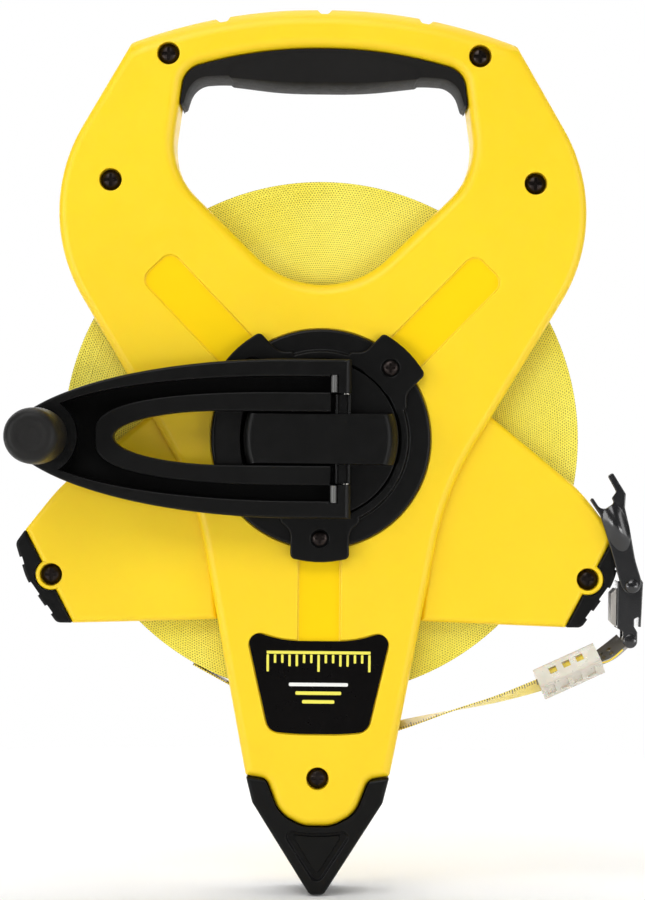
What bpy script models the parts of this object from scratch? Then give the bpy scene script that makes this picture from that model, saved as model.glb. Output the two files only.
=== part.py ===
"""Open-frame surveyor tape reel with a folding crank and a three-to-one planetary rewind.

The row frame has +Z up, +X to the right and the crank side facing -Y.  Its origin is the flat end
of the ground spike.  Outlines are drawn in millimetres about the reel axis, as (across, up), and
depths are millimetres along Y.  Everything is turned into metres when it becomes a mesh.
"""

import math

import bmesh
import bpy
from mathutils import Matrix, Vector

MM = 0.001
WELD = 1e-6                                     # metres within which points are one
UPRIGHT = Matrix.Rotation(math.pi / 2, 4, "X")  # turns local +Z to -Y, the crank side

# Driving dimensions, in millimetres.
HUB_HEIGHT = 169.7       # reel axis above the spike's end
FRAME_HALF = 17.5        # half the thickness of the Y-shaped frame
WING_HALF = 13.5         # half the thickness of the two side wings
WALL = 2.4               # shell wall
EDGE_ROUND = 1.8         # chamfer of the outer edges
SEAM = 0.15              # each shell stops this far short of the middle plane
GAP = 0.3                # clearance between pieces that touch
TAPE_WIDTH = 13.0
WINDING_RADIUS = 96.5    # 60 m of 0.42 mm blade on the drum
DRUM_RADIUS = 34.0
WINDING_ROOM = 98.8      # radius cleared inside both shells
SIDE_ROOM = 8.2          # half the width cleared inside both shells

# Planetary rewind: fixed ring, planets on the crank, sun on the reel.
GEAR_MODULE = 1.0
SUN_TEETH = 24
PLANET_TEETH = 12
RING_TEETH = 48
PRESSURE_ANGLE = math.radians(25)
BACKLASH = 0.16
GEAR_FRONT = -14.4
GEAR_BACK = -10.2
PLANET_ANGLES = (90, 210, 330)
PLANET_ORBIT = GEAR_MODULE * (SUN_TEETH + PLANET_TEETH) / 2
TOOTH_TIP = 0.9 * GEAR_MODULE
TOOTH_ROOT = 1.2 * GEAR_MODULE

# Hub and crank.
HUB_BORE = 32.0
GEAR_SEAT = 30.5         # seat of the ring gear in the front shell
GEAR_LIP = 26.8          # hole in the seat's floor
AXLE_RADIUS = 4.0
AXLE_BORE = 4.3
DRIVE_HEX = 8.0          # corner radius of the drum's hexagonal boss
PLANET_POST = 2.0
COVER_RADIUS = 40.8
COVER_RING = 32.4
DISC_RADIUS = 28.9
DISC_FACE = -22.0
LOBE_ANGLES = (46, 134, 270)
LOBE_REACH = 45.6
LOBE_SCREW_RADIUS = 36.9
LOBE_HALF = 10.9
COVER_SEAT = 41.3
TONGUE_HALF = 9.5
HINGE_ACROSS = 9.2
HINGE_DEPTH = -27.9
ARM_BACK = -22.6
ARM_FRONT = -33.2
ARM_HALF = 29.3
ARM_END = 11.2
KNOB_ACROSS = -102.6
FOLD_PIN = 1.5
FOLD_BORE = 1.8
BEYOND = 40.0            # how far a cutter that goes right through runs past the middle

# Case screws as (across, up, depth of the shell face there).
WING_SCREW = (100.2, -51.5)
WING_EYE = 5.8           # radius of the boss round a wing screw
CHANNEL_HALF = 7.9       # half width of the grooves that run out from the hub
NOTCH_HALF = 3.4         # half width of the notches on top of the handle
NOTCHES = ((-37.0, 156.3), (0.0, 159.0), (37.0, 156.3))
CASE_SCREWS = (
    (-58.0, 143.0, FRAME_HALF),
    (58.0, 143.0, FRAME_HALF),
    (-79.1, 95.8, FRAME_HALF),
    (79.1, 95.8, FRAME_HALF),
    (-WING_SCREW[0], WING_SCREW[1], WING_HALF),
    (*WING_SCREW, WING_HALF),
    (0.0, -126.4, FRAME_HALF),
)

# Right halves of the outlines: (across, up, corner radius), clockwise from the top.
FRAME_RIGHT = (
    (36.0, 160.3, 195.0),
    (71.5, 147.5, 4.0),
    (108.4, 84.0, 63.0),
    (47.2, -18.7, 110.0),
    (26.8, -125.4, 1.2),
    (19.2, -126.6, 3.5),
    (14.2, -139.6, 12.0),
    (5.5, -144.2, 12.0),
)
WINDOW_RIGHT = (
    (24.0, 145.6, 165.0),
    (52.0, 137.6, 9.0),
    (57.3, 99.6, 28.0),
    (0.0, 43.6, 35.0),
)
WING_RIGHT = (
    (45.0, 24.0, 0.5),
    (97.0, -18.3, 60.0),
    (110.0, -34.8, 0.5),
    (92.1, -69.5, 0.5),
    (38.0, -67.7, 0.5),
)
BUMPER_RIGHT = (
    (110.0, -34.8, 0.4),
    (113.6, -39.9, 3.0),
    (109.4, -53.6, 20.0),
    (98.0, -69.5, 3.0),
    (92.1, -69.5, 0.4),
)
BOOT_RIGHT = (
    (12.0, -118.5, 6.0),
    (16.0, -127.5, 0.5),
    (26.75, -125.7, 0.5),
    (24.3, -135.4, 3.0),
    (2.6, -169.7, 2.4),
)
LABEL_RIGHT = (
    (14.0, -75.2, 38.0),
    (27.2, -70.6, 3.6),
    (18.4, -108.9, 5.0),
    (8.0, -109.8, 60.0),
)
GRIP_RIGHT = (
    (24.0, 145.3, 160.0),
    (51.8, 137.3, 8.7),
    (53.6, 123.8, 1.0),
    (50.6, 123.2, 1.0),
    (47.6, 132.6, 8.0),
    (34.0, 132.8, 60.0),
    (12.0, 128.4, 120.0),
)

# The free blade as stations (across, depth, up, tilt in degrees): tilt lowers its front edge.
TAPE_THICKNESS = 0.5
TAPE_LEAVES = math.radians(241)
BLADE_STATIONS = (
    (-20.0, 0.0, -99.7, 0.0),
    (1.4, 0.0, -111.6, 2.0),
    (7.4, 0.0, -113.4, 4.0),
    (13.4, -0.1, -112.8, 6.0),
    (29.7, -0.6, -107.9, 10.0),
    (51.0, -2.2, -101.6, -5.0),
    (67.5, -3.6, -97.0, -15.0),
    (83.4, -5.0, -91.4, -25.0),
    (92.0, -5.5, -87.6, -25.0),
)
ROLLER = (6.8, -108.0)
ROLLER_RADIUS = 4.2
SLEEVE_FROM = (82.9, -5.0, -91.6, -25.0)
SLEEVE_TO = (105.2, -6.2, -81.1, -25.0)
SLEEVE_WIDTH = 14.8
SLEEVE_THICKNESS = 8.0
BRACKET_STATIONS = (
    (105.6, -6.4, -80.9, -25.0),
    (109.4, -6.8, -78.8, -18.0),
    (114.2, -7.0, -74.9, 0.0),
)

# The end hook, hung on the right bumper.
HOOK_MIDDLE = -7.0
HOOK_HALF = 6.8
HOOK_PIVOT = (116.1, -74.3)
HOOK_OUTLINE = (
    (111.2, -52.0, 0.6),
    (111.2, -69.6, 0.6),
    (113.4, -70.6, 1.0),
    (113.4, -77.0, 2.6),
    (118.8, -77.0, 2.6),
    (118.8, -71.0, 1.0),
    (117.6, -69.0, 0.4),
    (117.6, -61.0, 0.4),
    (119.2, -60.0, 0.3),
    (119.0, -70.3, 0.3),
    (120.0, -70.3, 0.3),
    (120.8, -52.4, 0.5),
    (118.8, -49.4, 0.6),
)
PLATE_OUTLINE = (
    (110.9, -54.6, 0.2),
    (108.9, -56.6, 0.4),
    (108.9, -67.2, 0.8),
    (110.9, -69.2, 0.2),
)
CLAW_RIVET = (116.5, -53.8)
CLAW_OUTLINE = (
    (112.4, -54.0, 4.1),
    (116.6, -59.6, 3.6),
    (120.4, -53.0, 4.1),
    (117.6, -44.0, 20.0),
    (115.4, -32.0, 20.0),
    (113.6, -24.6, 3.0),
    (113.9, -19.4, 1.2),
    (108.9, -11.4, 0.7),
    (107.0, -12.8, 0.7),
    (110.2, -18.6, 0.8),
    (108.6, -21.0, 0.5),
    (109.4, -22.8, 1.0),
    (105.0, -26.0, 2.6),
    (101.0, -20.0, 0.7),
    (100.6, -22.0, 0.7),
    (104.4, -27.6, 3.0),
    (108.4, -40.0, 20.0),
)

# Degrees to a chord of a rounded corner, by the corner's radius.
ARC_STEPS = ((1.0, 60.0), (3.0, 36.0), (90.0, 20.0), (math.inf, 10.0))

PART = bpy.data.collections.new("surveyor_tape_reel")
CUTTERS = bpy.data.collections.new("cutters")

YELLOW = ("yellow_plastic", (0.93, 0.66, 0.02), 0.42, 0.0)
BLACK = ("black_plastic", (0.022, 0.022, 0.022), 0.5, 0.0)
GRIP_RUBBER = ("grip_rubber", (0.03, 0.029, 0.027), 0.75, 0.0)
BLADE = ("blade_yellow", (0.86, 0.78, 0.07), 0.6, 0.0)
LABEL = ("label_black", (0.012, 0.01, 0.01), 0.3, 0.0)
MILKY = ("milky_plastic", (0.8, 0.79, 0.74), 0.35, 0.0)
NYLON = ("white_nylon", (0.8, 0.79, 0.74), 0.5, 0.0)
STEEL = ("steel", (0.56, 0.55, 0.52), 0.3, 1.0)
BLACK_STEEL = ("black_steel", (0.02, 0.018, 0.018), 0.3, 0.6)
FELT = ("felt", (0.12, 0.12, 0.12), 0.95, 0.0)


# ---------------------------------------------------------------- outlines


def mirrored(right):
    """The whole outline, counter-clockwise, from the right half given clockwise from the top."""
    centre_first = [c for c in right if c[0] == 0]
    sides = [c for c in right if c[0] != 0]
    left = [(-x, z, r) for x, z, r in sides]
    return left + centre_first + sides[::-1]


def rounded(corners, inset=0.0):
    """Points of a counter-clockwise outline with its corners rounded, moved inwards by inset."""
    count = len(corners)
    at = [Vector((c[0], c[1])) for c in corners]
    along = [(at[(i + 1) % count] - at[i]).normalized() for i in range(count)]
    points = []
    for i in range(count):
        before, after = along[i - 1], along[i]
        turn = math.atan2(before.cross(after), before.dot(after))
        inward = Vector((-before.y - after.y, before.x + after.x)) / (1 + before.dot(after))
        corner = at[i] + inward * inset
        radius = corners[i][2]
        radius = max(radius - inset, 0.05) if turn > 0 else max(radius + inset, 0.05)
        side = math.copysign(1.0, turn)
        centre = corner + inward * radius * side
        arc_step = next(step for limit, step in ARC_STEPS if corners[i][2] < limit)
        steps = max(1, round(abs(math.degrees(turn)) / arc_step))
        first = math.atan2(-before.x * side, before.y * side)
        for k in range(steps + 1):
            angle = first + turn * k / steps
            points.append(centre + radius * Vector((math.cos(angle), math.sin(angle))))
    return points


def circle(radius, centre=(0.0, 0.0), sides=24):
    """A round outline."""
    angles = [2 * math.pi * k / sides for k in range(sides)]
    return [Vector((centre[0] + radius * math.cos(a), centre[1] + radius * math.sin(a))) for a in angles]


def bullet(tip, half, root, shoulder, fullness, blunt, steps=14):
    """The crank arm's pointed outline: straight sides, then a superellipse to its tip on the left."""
    upper = [Vector((root, half))]
    for k in range(steps + 1):
        share = math.sin(0.5 * math.pi * k / steps)
        height = half * max(0.0, 1 - share**fullness) ** blunt
        upper.append(Vector((-(shoulder + (tip - shoulder) * share), height)))
    return upper + [Vector((p.x, -p.y)) for p in reversed(upper[:-1])]


def hexagon(radius):
    """A hexagonal outline about the reel axis."""
    return circle(radius, sides=6)


def gear(teeth, addendum, dedendum, backlash, turned=0.0):
    """An involute gear outline with a tooth centred on the angle turned, in radians."""
    pitch = GEAR_MODULE * teeth / 2
    base = pitch * math.cos(PRESSURE_ANGLE)
    half_tooth = (math.pi * GEAR_MODULE / 2 - backlash) / 2 / pitch
    at_pitch = math.tan(PRESSURE_ANGLE) - PRESSURE_ANGLE
    flank = []
    for radius in (pitch - dedendum, pitch + addendum):
        reach = math.acos(min(1.0, base / radius))
        flank.append((radius, half_tooth + at_pitch - (math.tan(reach) - reach)))
    points = []
    for tooth in range(teeth):
        middle = turned + 2 * math.pi * tooth / teeth
        for radius, half in flank:
            points.append(radius * Vector((math.cos(middle - half), math.sin(middle - half))))
        for radius, half in reversed(flank):
            points.append(radius * Vector((math.cos(middle + half), math.sin(middle + half))))
    return points


# ---------------------------------------------------------------- solids


def material(spec):
    """The Principled material of that name, made once."""
    name, colour, roughness, metallic = spec
    found = bpy.data.materials.get(name)
    if found is None:
        found = bpy.data.materials.new(name)
        found.use_nodes = True
        shader = found.node_tree.nodes["Principled BSDF"]
        shader.inputs["Base Color"].default_value = (*colour, 1.0)
        shader.inputs["Roughness"].default_value = roughness
        shader.inputs["Metallic"].default_value = metallic
    return found


def place(across, depth, up):
    """A point in metres from millimetres about the reel axis."""
    return Vector((across, depth, up + HUB_HEIGHT)) * MM


def add_object(name, mesh, spec=None):
    """Links a part, or a cutter when it has no material."""
    made = bpy.data.objects.new(name, mesh)
    if spec is None:
        CUTTERS.objects.link(made)
        made.hide_render = True
        made.display_type = "WIRE"
    else:
        PART.objects.link(made)
        mesh.materials.append(material(spec))
        mesh.shade_smooth()
        mesh.set_sharp_from_angle(angle=math.radians(35))
    return made


def loft(name, sections, spec=None):
    """A closed solid through sections, each (depth, outline), all with the same number of points."""
    shape = bmesh.new()
    rings = []
    for depth, outline in sections:
        ring = [shape.verts.new(place(p.x, depth, p.y)) for p in outline]
        rings.append([shape.edges.new((ring[i - 1], ring[i])) for i in range(len(ring))])
    for first, second in zip(rings, rings[1:]):
        bmesh.ops.bridge_loops(shape, edges=first + second)
    for ring in (rings[0], rings[-1]):
        bmesh.ops.contextual_create(shape, geom=ring)
    bmesh.ops.recalc_face_normals(shape, faces=shape.faces)
    mesh = bpy.data.meshes.new(name)
    shape.to_mesh(mesh)
    shape.free()
    return add_object(name, mesh, spec)


def flat_shape(name, outline, thickness):
    """The mesh of an outline given a thickness, from a filled and extruded 2D curve, flat in X and Y."""
    curve = bpy.data.curves.new(name, "CURVE")
    curve.dimensions = "2D"
    curve.fill_mode = "BOTH"
    curve.extrude = thickness * MM / 2
    spline = curve.splines.new("POLY")
    spline.points.add(len(outline) - 1)
    for point, (x, y) in zip(spline.points, outline):
        point.co = (x * MM, y * MM, 0.0, 1.0)
    spline.use_cyclic_u = True
    holder = bpy.data.objects.new(name, curve)
    mesh = bpy.data.meshes.new_from_object(holder)
    bpy.data.objects.remove(holder)
    bpy.data.curves.remove(curve)
    shape = bmesh.new()
    shape.from_mesh(mesh)
    bmesh.ops.remove_doubles(shape, verts=shape.verts, dist=WELD)
    bmesh.ops.dissolve_limit(shape, angle_limit=WELD, verts=shape.verts, edges=shape.edges)
    bmesh.ops.recalc_face_normals(shape, faces=shape.faces)
    shape.to_mesh(mesh)
    shape.free()
    return mesh


def prism(name, outline, front, back, spec=None):
    """A flat outline carried along Y between two depths."""
    return loft(name, [(front, outline), (back, outline)], spec)


def edge_sections(corners, face, other, edge, inset, steps):
    """Sections from the depth called face inwards, rounding that edge."""
    inward = math.copysign(1.0, other - face)
    sections = []
    for k in range(steps + 1):
        angle = 0.5 * math.pi * (1 - k / steps)
        depth = face + inward * edge * (1 - math.sin(angle))
        sections.append((depth, rounded(corners, inset + edge * (1 - math.cos(angle)))))
    return sections


def soft_plate(name, corners, face, other, edge, spec=None, inset=0.0, steps=1):
    """A prism of rounded corners whose edge at the depth called face is rounded by edge."""
    sections = edge_sections(corners, face, other, edge, inset, steps)
    return loft(name, sections + [(other, rounded(corners, inset))], spec)


def slab(name, corners, half, edge, spec=None, steps=1):
    """A prism centred on the middle plane with both of its edges rounded."""
    front = edge_sections(corners, -half, 0, edge, 0.0, steps)
    back = edge_sections(corners, half, 0, edge, 0.0, steps)
    return loft(name, front + back[::-1], spec)


def turned(name, profile, centre, spec=None, sides=32):
    """A solid of revolution about an axis along Y.

    The profile is (radius, depth).  Its outer side runs from the crank side to the rear, and it
    starts and ends on the axis unless the shape has a bore.
    """
    line = bpy.data.meshes.new(f"{name} profile")
    edges = [(i, i + 1) for i in range(len(profile) - 1)]
    if profile[0][0] > 0:
        edges.append((len(profile) - 1, 0))
    line.from_pydata([(radius * MM, 0.0, -depth * MM) for radius, depth in profile], edges, [])
    made = add_object(name, line, spec)
    made.location = place(centre[0], 0.0, centre[1])
    made.rotation_euler = UPRIGHT.to_euler()
    lathe = made.modifiers.new("turn", "SCREW")
    lathe.steps = sides
    lathe.render_steps = sides
    lathe.use_merge_vertices = True
    lathe.merge_threshold = WELD
    return made


def rod(name, radius, front, back, centre=(0.0, 0.0), spec=None, sides=20):
    """A plain cylinder along Y."""
    mesh = bpy.data.meshes.new(name)
    shape = bmesh.new()
    length = abs(back - front) * MM
    wide = radius * MM
    bmesh.ops.create_cone(shape, cap_ends=True, segments=sides, radius1=wide, radius2=wide, depth=length)
    shape.to_mesh(mesh)
    shape.free()
    made = add_object(name, mesh, spec)
    made.location = place(centre[0], (front + back) / 2, centre[1])
    made.rotation_euler = UPRIGHT.to_euler()
    return made


def block(name, low, high, spec=None):
    """A box between two corners, each (across, depth, up)."""
    mesh = bpy.data.meshes.new(name)
    shape = bmesh.new()
    bmesh.ops.create_cube(shape, size=1.0)
    first = place(*(min(pair) for pair in zip(low, high)))
    second = place(*(max(pair) for pair in zip(low, high)))
    scale = Matrix.Diagonal((*(second - first), 1.0))
    bmesh.ops.transform(shape, matrix=Matrix.Translation((first + second) / 2) @ scale, verts=shape.verts)
    shape.to_mesh(mesh)
    shape.free()
    return add_object(name, mesh, spec)


def combine(target, operation, *tools):
    """Boolean modifiers on target, one for each tool."""
    for tool in tools:
        modifier = target.modifiers.new(f"{operation.lower()} {tool.name}", "BOOLEAN")
        modifier.operation = operation
        modifier.solver = "EXACT"
        modifier.object = tool
    return target


def cut(target, *tools):
    return combine(target, "DIFFERENCE", *tools)


def join(target, *tools):
    return combine(target, "UNION", *tools)


# ---------------------------------------------------------------- the case


def one_side(corners, side):
    """A right-hand outline, or its mirror image on the left, counter-clockwise."""
    if side < 0:
        return [(-x, z, r) for x, z, r in corners]
    return list(corners[::-1])


def turned_corners(corners, degrees):
    """Corners turned about the reel axis."""
    c, s = math.cos(math.radians(degrees)), math.sin(math.radians(degrees))
    return [(x * c - z * s, x * s + z * c, r) for x, z, r in corners]


def polar(radius, degrees):
    """A point at that radius and angle from the reel axis."""
    return (radius * math.cos(math.radians(degrees)), radius * math.sin(math.radians(degrees)))


def channel(name, degrees, reach, half, face, side):
    """A shallow groove in the frame's face running out from the hub."""
    corners = ((25, -half, 0.5), (reach, -half, 4.5), (reach, half, 4.5), (25, half, 0.5))
    outline = rounded(turned_corners(corners, degrees))
    return prism(name, outline, side * (face - 1.2), side * (face + 2))


def hollow(name, outline, holes, posts, plate, side):
    """The space inside a shell: an inset outline less the walls of its holes and its screw posts."""
    space = prism(name, rounded(outline, WALL), side * (plate - WALL), -side)
    for index, hole in enumerate(holes):
        cut(space, prism(f"{name} hole {index}", rounded(hole, -WALL), side * (plate + 3), -side * 3))
    for index, (across, up, radius) in enumerate(posts):
        sides = 12 if radius < 8 else 40
        post = rod(f"{name} post {index}", radius, side * (plate + 3), -side * 3, (across, up), sides=sides)
        cut(space, post)
    return space


def shell(name, side):
    """One half of the case: side is -1 for the crank side and +1 for the rear."""
    frame = mirrored(FRAME_RIGHT)
    window = mirrored(WINDOW_RIGHT)
    wings = {s: one_side(WING_RIGHT, s) for s in (-1, 1)}
    body = soft_plate(name, frame, side * FRAME_HALF, side * SEAM, EDGE_ROUND, YELLOW)
    for s, outline in wings.items():
        join(body, soft_plate(f"{name} wing {s}", outline, side * WING_HALF, side * SEAM, EDGE_ROUND - 0.4))
    for s in wings:
        at = (s * WING_SCREW[0], WING_SCREW[1])
        eye = rod(f"{name} eye {s}", WING_EYE, side * (WING_HALF - 0.1), side * (SEAM + 0.1), at, sides=16)
        join(body, eye)

    posts = [(across, up, 6.2) for across, up, face in CASE_SCREWS if face == FRAME_HALF]
    posts.append((*ROLLER, ROLLER_RADIUS))
    posts.append((0.0, 0.0, 34.2 if side < 0 else 10.0))
    if side < 0:
        posts += [(*polar(LOBE_SCREW_RADIUS, angle), 4.0) for angle in LOBE_ANGLES]
    cut(body, hollow(f"{name} room", frame, [window], posts, FRAME_HALF, side))
    for s, outline in wings.items():
        room = hollow(f"{name} wing room {s}", outline, [], [], WING_HALF, side)
        cut(room, prism(f"{name} keep {s}", rounded(frame), side * BEYOND, -side * 5))
        at = (s * WING_SCREW[0], WING_SCREW[1])
        cut(room, rod(f"{name} eye post {s}", WING_EYE + 0.1, side * BEYOND, -side * 5, at, sides=16))
        cut(body, room)

    funnel = [
        (-side, rounded(window)), (side * (FRAME_HALF - EDGE_ROUND), rounded(window)),
        (side * (FRAME_HALF + EDGE_ROUND), rounded(window, -2 * EDGE_ROUND)),
    ]
    cut(body, loft(f"{name} window", funnel))
    cut(body, rod(f"{name} winding room", WINDING_ROOM, side * SIDE_ROOM, -side * 5, sides=60))
    cut(body, block(f"{name} leg slot", (-60, side * SIDE_ROOM, -160), (60, -side * 5, -84)))

    for degrees in LOBE_ANGLES:
        reach = 89.5 if degrees < 200 else 80.0
        cut(body, channel(f"{name} channel {degrees}", degrees, reach, CHANNEL_HALF, FRAME_HALF, side))
    label = rounded(mirrored(LABEL_RIGHT), -0.4)
    cut(body, prism(f"{name} label recess", label, side * (FRAME_HALF - 1.0), side * (FRAME_HALF + 2)))
    for across, floor in NOTCHES:
        low = (across - NOTCH_HALF, -BEYOND, floor)
        cut(body, block(f"{name} notch {across}", low, (across + NOTCH_HALF, BEYOND, floor + BEYOND)))

    for index, (across, up, face) in enumerate(CASE_SCREWS):
        at = (across, up)
        if side < 0:
            cut(body, rod(f"{name} well {index}", 4.4, -face - 2, -face + 4.5, at, sides=12))
            cut(body, rod(f"{name} bore {index}", 2.0, -face - 3, 5, at, sides=8))
        else:
            cut(body, rod(f"{name} pilot {index}", 1.9, -5, face - 3.5, at, sides=8))
    cut(body, rod(f"{name} roller seat", 2.0, side * (FRAME_HALF - 3), -side * 5, ROLLER, sides=8))
    seat = rod(f"{name} cover seat", COVER_SEAT, side * (FRAME_HALF - 1.3), side * (FRAME_HALF + 2), sides=40)
    cut(body, seat)
    if side < 0:
        cut(body, rod(f"{name} hub bore", HUB_BORE, -FRAME_HALF - 2, -14.8, sides=40))
        cut(body, rod(f"{name} gear seat", GEAR_SEAT, -16, GEAR_BACK + GAP, sides=36))
        cut(body, rod(f"{name} gear lip", GEAR_LIP, -17, -5, sides=30))
        for degrees in LOBE_ANGLES:
            at = polar(LOBE_SCREW_RADIUS, degrees)
            cut(body, rod(f"{name} cover pilot {degrees}", 1.6, -30, -9.5, at, sides=8))
    else:
        cut(body, rod(f"{name} axle bore", AXLE_BORE, -5, 30))
    return body


def boot():
    """The black ground spike: a solid point with a web reaching up between the shells."""
    body = slab("ground_spike", mirrored(BOOT_RIGHT), FRAME_HALF, EDGE_ROUND, BLACK)
    leg = rounded(mirrored(FRAME_RIGHT), -GAP)
    for side in (-1, 1):
        cut(body, prism(f"spike leg {side}", leg, side * (SIDE_ROOM - GAP), side * BEYOND))
        panel = ((-13.4, -145.6, 2.0), (0.0, -166.4, 2.5), (13.4, -145.6, 2.0), (0.0, -147.6, 60.0))
        inner = rounded(panel, 1.0)
        outer = rounded(panel, -0.4)
        depths = (side * (FRAME_HALF - 1.8), side * (FRAME_HALF + 0.5))
        cut(body, loft(f"spike panel {side}", [(depths[0], inner), (depths[1], outer)]))
    cut(body, rod("spike screw way", 6.5, -5 - SIDE_ROOM, 5 + SIDE_ROOM, (0, -126.4)))
    return body


def bumper(name, side):
    """A ribbed black corner of a wing, from front to rear."""
    outline = one_side(BUMPER_RIGHT, side)
    body = slab(name, outline, WING_HALF, EDGE_ROUND - 0.4, BLACK)
    wing = rounded(one_side(WING_RIGHT, side), -0.2)
    cut(body, prism(f"{name} wing", wing, -BEYOND, BEYOND))
    eye = (side * WING_SCREW[0], WING_SCREW[1])
    cut(body, rod(f"{name} eye", WING_EYE + 0.4, -BEYOND, BEYOND, eye, sides=16))
    for across, up in ((113.4, -44.2), (110.4, -53.2), (106.0, -60.4), (101.6, -66.6)):
        notch = [(-1.0, -0.9, 0.2), (1.0, -0.9, 0.2), (1.0, 0.9, 0.2), (-1.0, 0.9, 0.2)]
        spot = [(side * across + x, up + z, r) for x, z, r in notch]
        cut(body, prism(f"{name} notch {up}", rounded(spot), -BEYOND, BEYOND))
    return body


def grip():
    """The soft lining of the handle opening."""
    return slab("grip_insert", mirrored(GRIP_RIGHT), 15.4, 0.5, GRIP_RUBBER)


def screw(name, across, up, front, head_radius, head_height, shank_radius, length, spec=BLACK_STEEL):
    """A pan-headed screw, its head facing the crank side, with a square driver recess."""
    profile = [
        (0, front), (head_radius * 0.7, front), (head_radius, front + 0.5 * head_height),
        (head_radius, front + head_height), (shank_radius, front + head_height),
        (shank_radius, front + length), (0, front + length),
    ]
    body = turned(name, profile, (across, up), spec, sides=10)
    reach = head_radius * 0.3
    low = (across - reach, front - 1, up - reach)
    high = (across + reach, front + head_height * 0.55, up + reach)
    return cut(body, block(f"{name} recess", low, high))


def case_screws():
    names = ("handle_screw_l", "handle_screw_r", "arm_screw_l", "arm_screw_r", "wing_screw_l", "wing_screw_r",
             "leg_screw")
    for name, (across, up, face) in zip(names, CASE_SCREWS):
        screw(name, across, up, -face + 1.4, 4.0, 2.7, 1.5, face + 6.6)


# ---------------------------------------------------------------- reel and gears


def toothed(name, teeth, turned_by, bore, spec):
    """A spur gear between the gear planes."""
    outline = gear(teeth, TOOTH_TIP, TOOTH_ROOT, BACKLASH, turned_by)
    return cut(prism(name, outline, GEAR_FRONT, GEAR_BACK, spec), bore)


def gears():
    bore = prism("sun bore", hexagon(DRIVE_HEX + GAP), -20, 0)
    toothed("sun_gear", SUN_TEETH, math.radians(90), bore, NYLON)
    for index, degrees in enumerate(PLANET_ANGLES):
        at = polar(PLANET_ORBIT, degrees)
        meshed = math.radians(degrees + 180 + 180 / PLANET_TEETH)
        outline = [p + Vector(at) for p in gear(PLANET_TEETH, TOOTH_TIP, TOOTH_ROOT, BACKLASH, meshed)]
        wheel = prism(f"planet_gear_{index + 1}", outline, GEAR_FRONT, GEAR_BACK, NYLON)
        cut(wheel, rod(f"planet bore {index}", PLANET_POST + GAP, -20, 0, at, sides=12))
    ring = rod("ring_gear", GEAR_SEAT - 0.5, GEAR_FRONT, GEAR_BACK, spec=NYLON, sides=36)
    half_tooth = 180 / RING_TEETH
    inside = gear(RING_TEETH, TOOTH_ROOT, TOOTH_TIP, -BACKLASH, math.radians(90 + half_tooth))
    cut(ring, prism("ring inside", inside, -20, 0))


def reel():
    """The drum with its web and hexagonal drive boss, and the winding on it."""
    profile = [
        (0, -10.0), (8.6, -10.0), (8.6, -1.4), (31.4, -1.4), (31.4, -6.5), (DRUM_RADIUS, -6.5),
        (DRUM_RADIUS, 6.5), (31.4, 6.5), (31.4, 1.4), (8.6, 1.4), (8.6, 7.0), (0, 7.0),
    ]
    drum = turned("reel_drum", profile, (0, 0), NYLON, sides=40)
    join(drum, prism("drive boss", hexagon(DRIVE_HEX), -14.2, -9.0))
    cut(drum, rod("drum bore", AXLE_BORE, -20, 20, sides=22))
    for index in range(6):
        cut(drum, rod(f"drum hole {index}", 5.6, -5, 5, polar(19.8, 60 * index + 33), sides=9))
    ring = [(34.4, -6.5), (WINDING_RADIUS, -6.5), (WINDING_RADIUS, 6.5), (34.4, 6.5)]
    turned("tape_winding", ring, (0, 0), BLADE, sides=64)
    axle = [
        (0, -19.4), (AXLE_RADIUS - 0.6, -19.4), (AXLE_RADIUS, -18.8), (AXLE_RADIUS, 17.8),
        (8.4, 17.8), (8.4, 19.6), (0, 19.6),
    ]
    turned("axle", axle, (0, 0), STEEL, sides=20)
    washer = [(4.4, 7.3), (9.6, 7.3), (9.6, 7.9), (4.4, 7.9)]
    turned("friction_washer", washer, (0, 0), FELT, sides=20)
    cap = [
        (0, 20.0), (8.9, 20.0), (8.9, 17.8), (24.0, 17.8),
        (24.0, 19.2), (22.0, 21.0), (14.0, 22.0), (0, 22.0),
    ]
    turned("rear_cap", cap, (0, 0), BLACK, sides=36)


# ---------------------------------------------------------------- hub and crank


def hub_cover():
    """The fixed black bearing ring with three screwed lobes."""
    disc = [
        (0, -21.5), (COVER_RING - 0.2, -21.5), (COVER_RING + 0.5, -18.8), (COVER_RADIUS - 0.6, -18.8),
        (COVER_RADIUS, -18.2), (COVER_RADIUS, -16.6), (0, -16.6),
    ]
    body = turned("hub_cover", disc, (0, 0), BLACK, sides=40)
    for degrees in LOBE_ANGLES:
        corners = (
            (20.0, -14.0, 0.1), (29.6, -14.0, 0.1), (32.8, -LOBE_HALF, 4.0), (LOBE_REACH, -LOBE_HALF, 1.8),
            (LOBE_REACH, LOBE_HALF, 1.8), (32.8, LOBE_HALF, 4.0), (29.6, 14.0, 0.1), (20.0, 14.0, 0.1),
        )
        lobe = soft_plate(f"lobe {degrees}", turned_corners(corners, degrees), -21.5, -17.8, 0.5)
        join(body, lobe)
    cut(body, rod("cover bore", DISC_RADIUS + 0.5, -BEYOND, -17, sides=38))
    cut(body, rod("flange seat", 31.3, -18.0, 0, sides=38))
    for index, degrees in enumerate(LOBE_ANGLES):
        at = polar(LOBE_SCREW_RADIUS, degrees)
        cut(body, rod(f"cover hole {degrees}", 1.7, -BEYOND, 0, at, sides=10))
        cut(body, rod(f"cover well {degrees}", 3.3, -BEYOND - 1, -20.2, at, sides=16))
        screw(f"hub_screw_{index + 1}", *at, -22.0, 3.0, 1.6, 1.25, 11.5)
    return body


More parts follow.
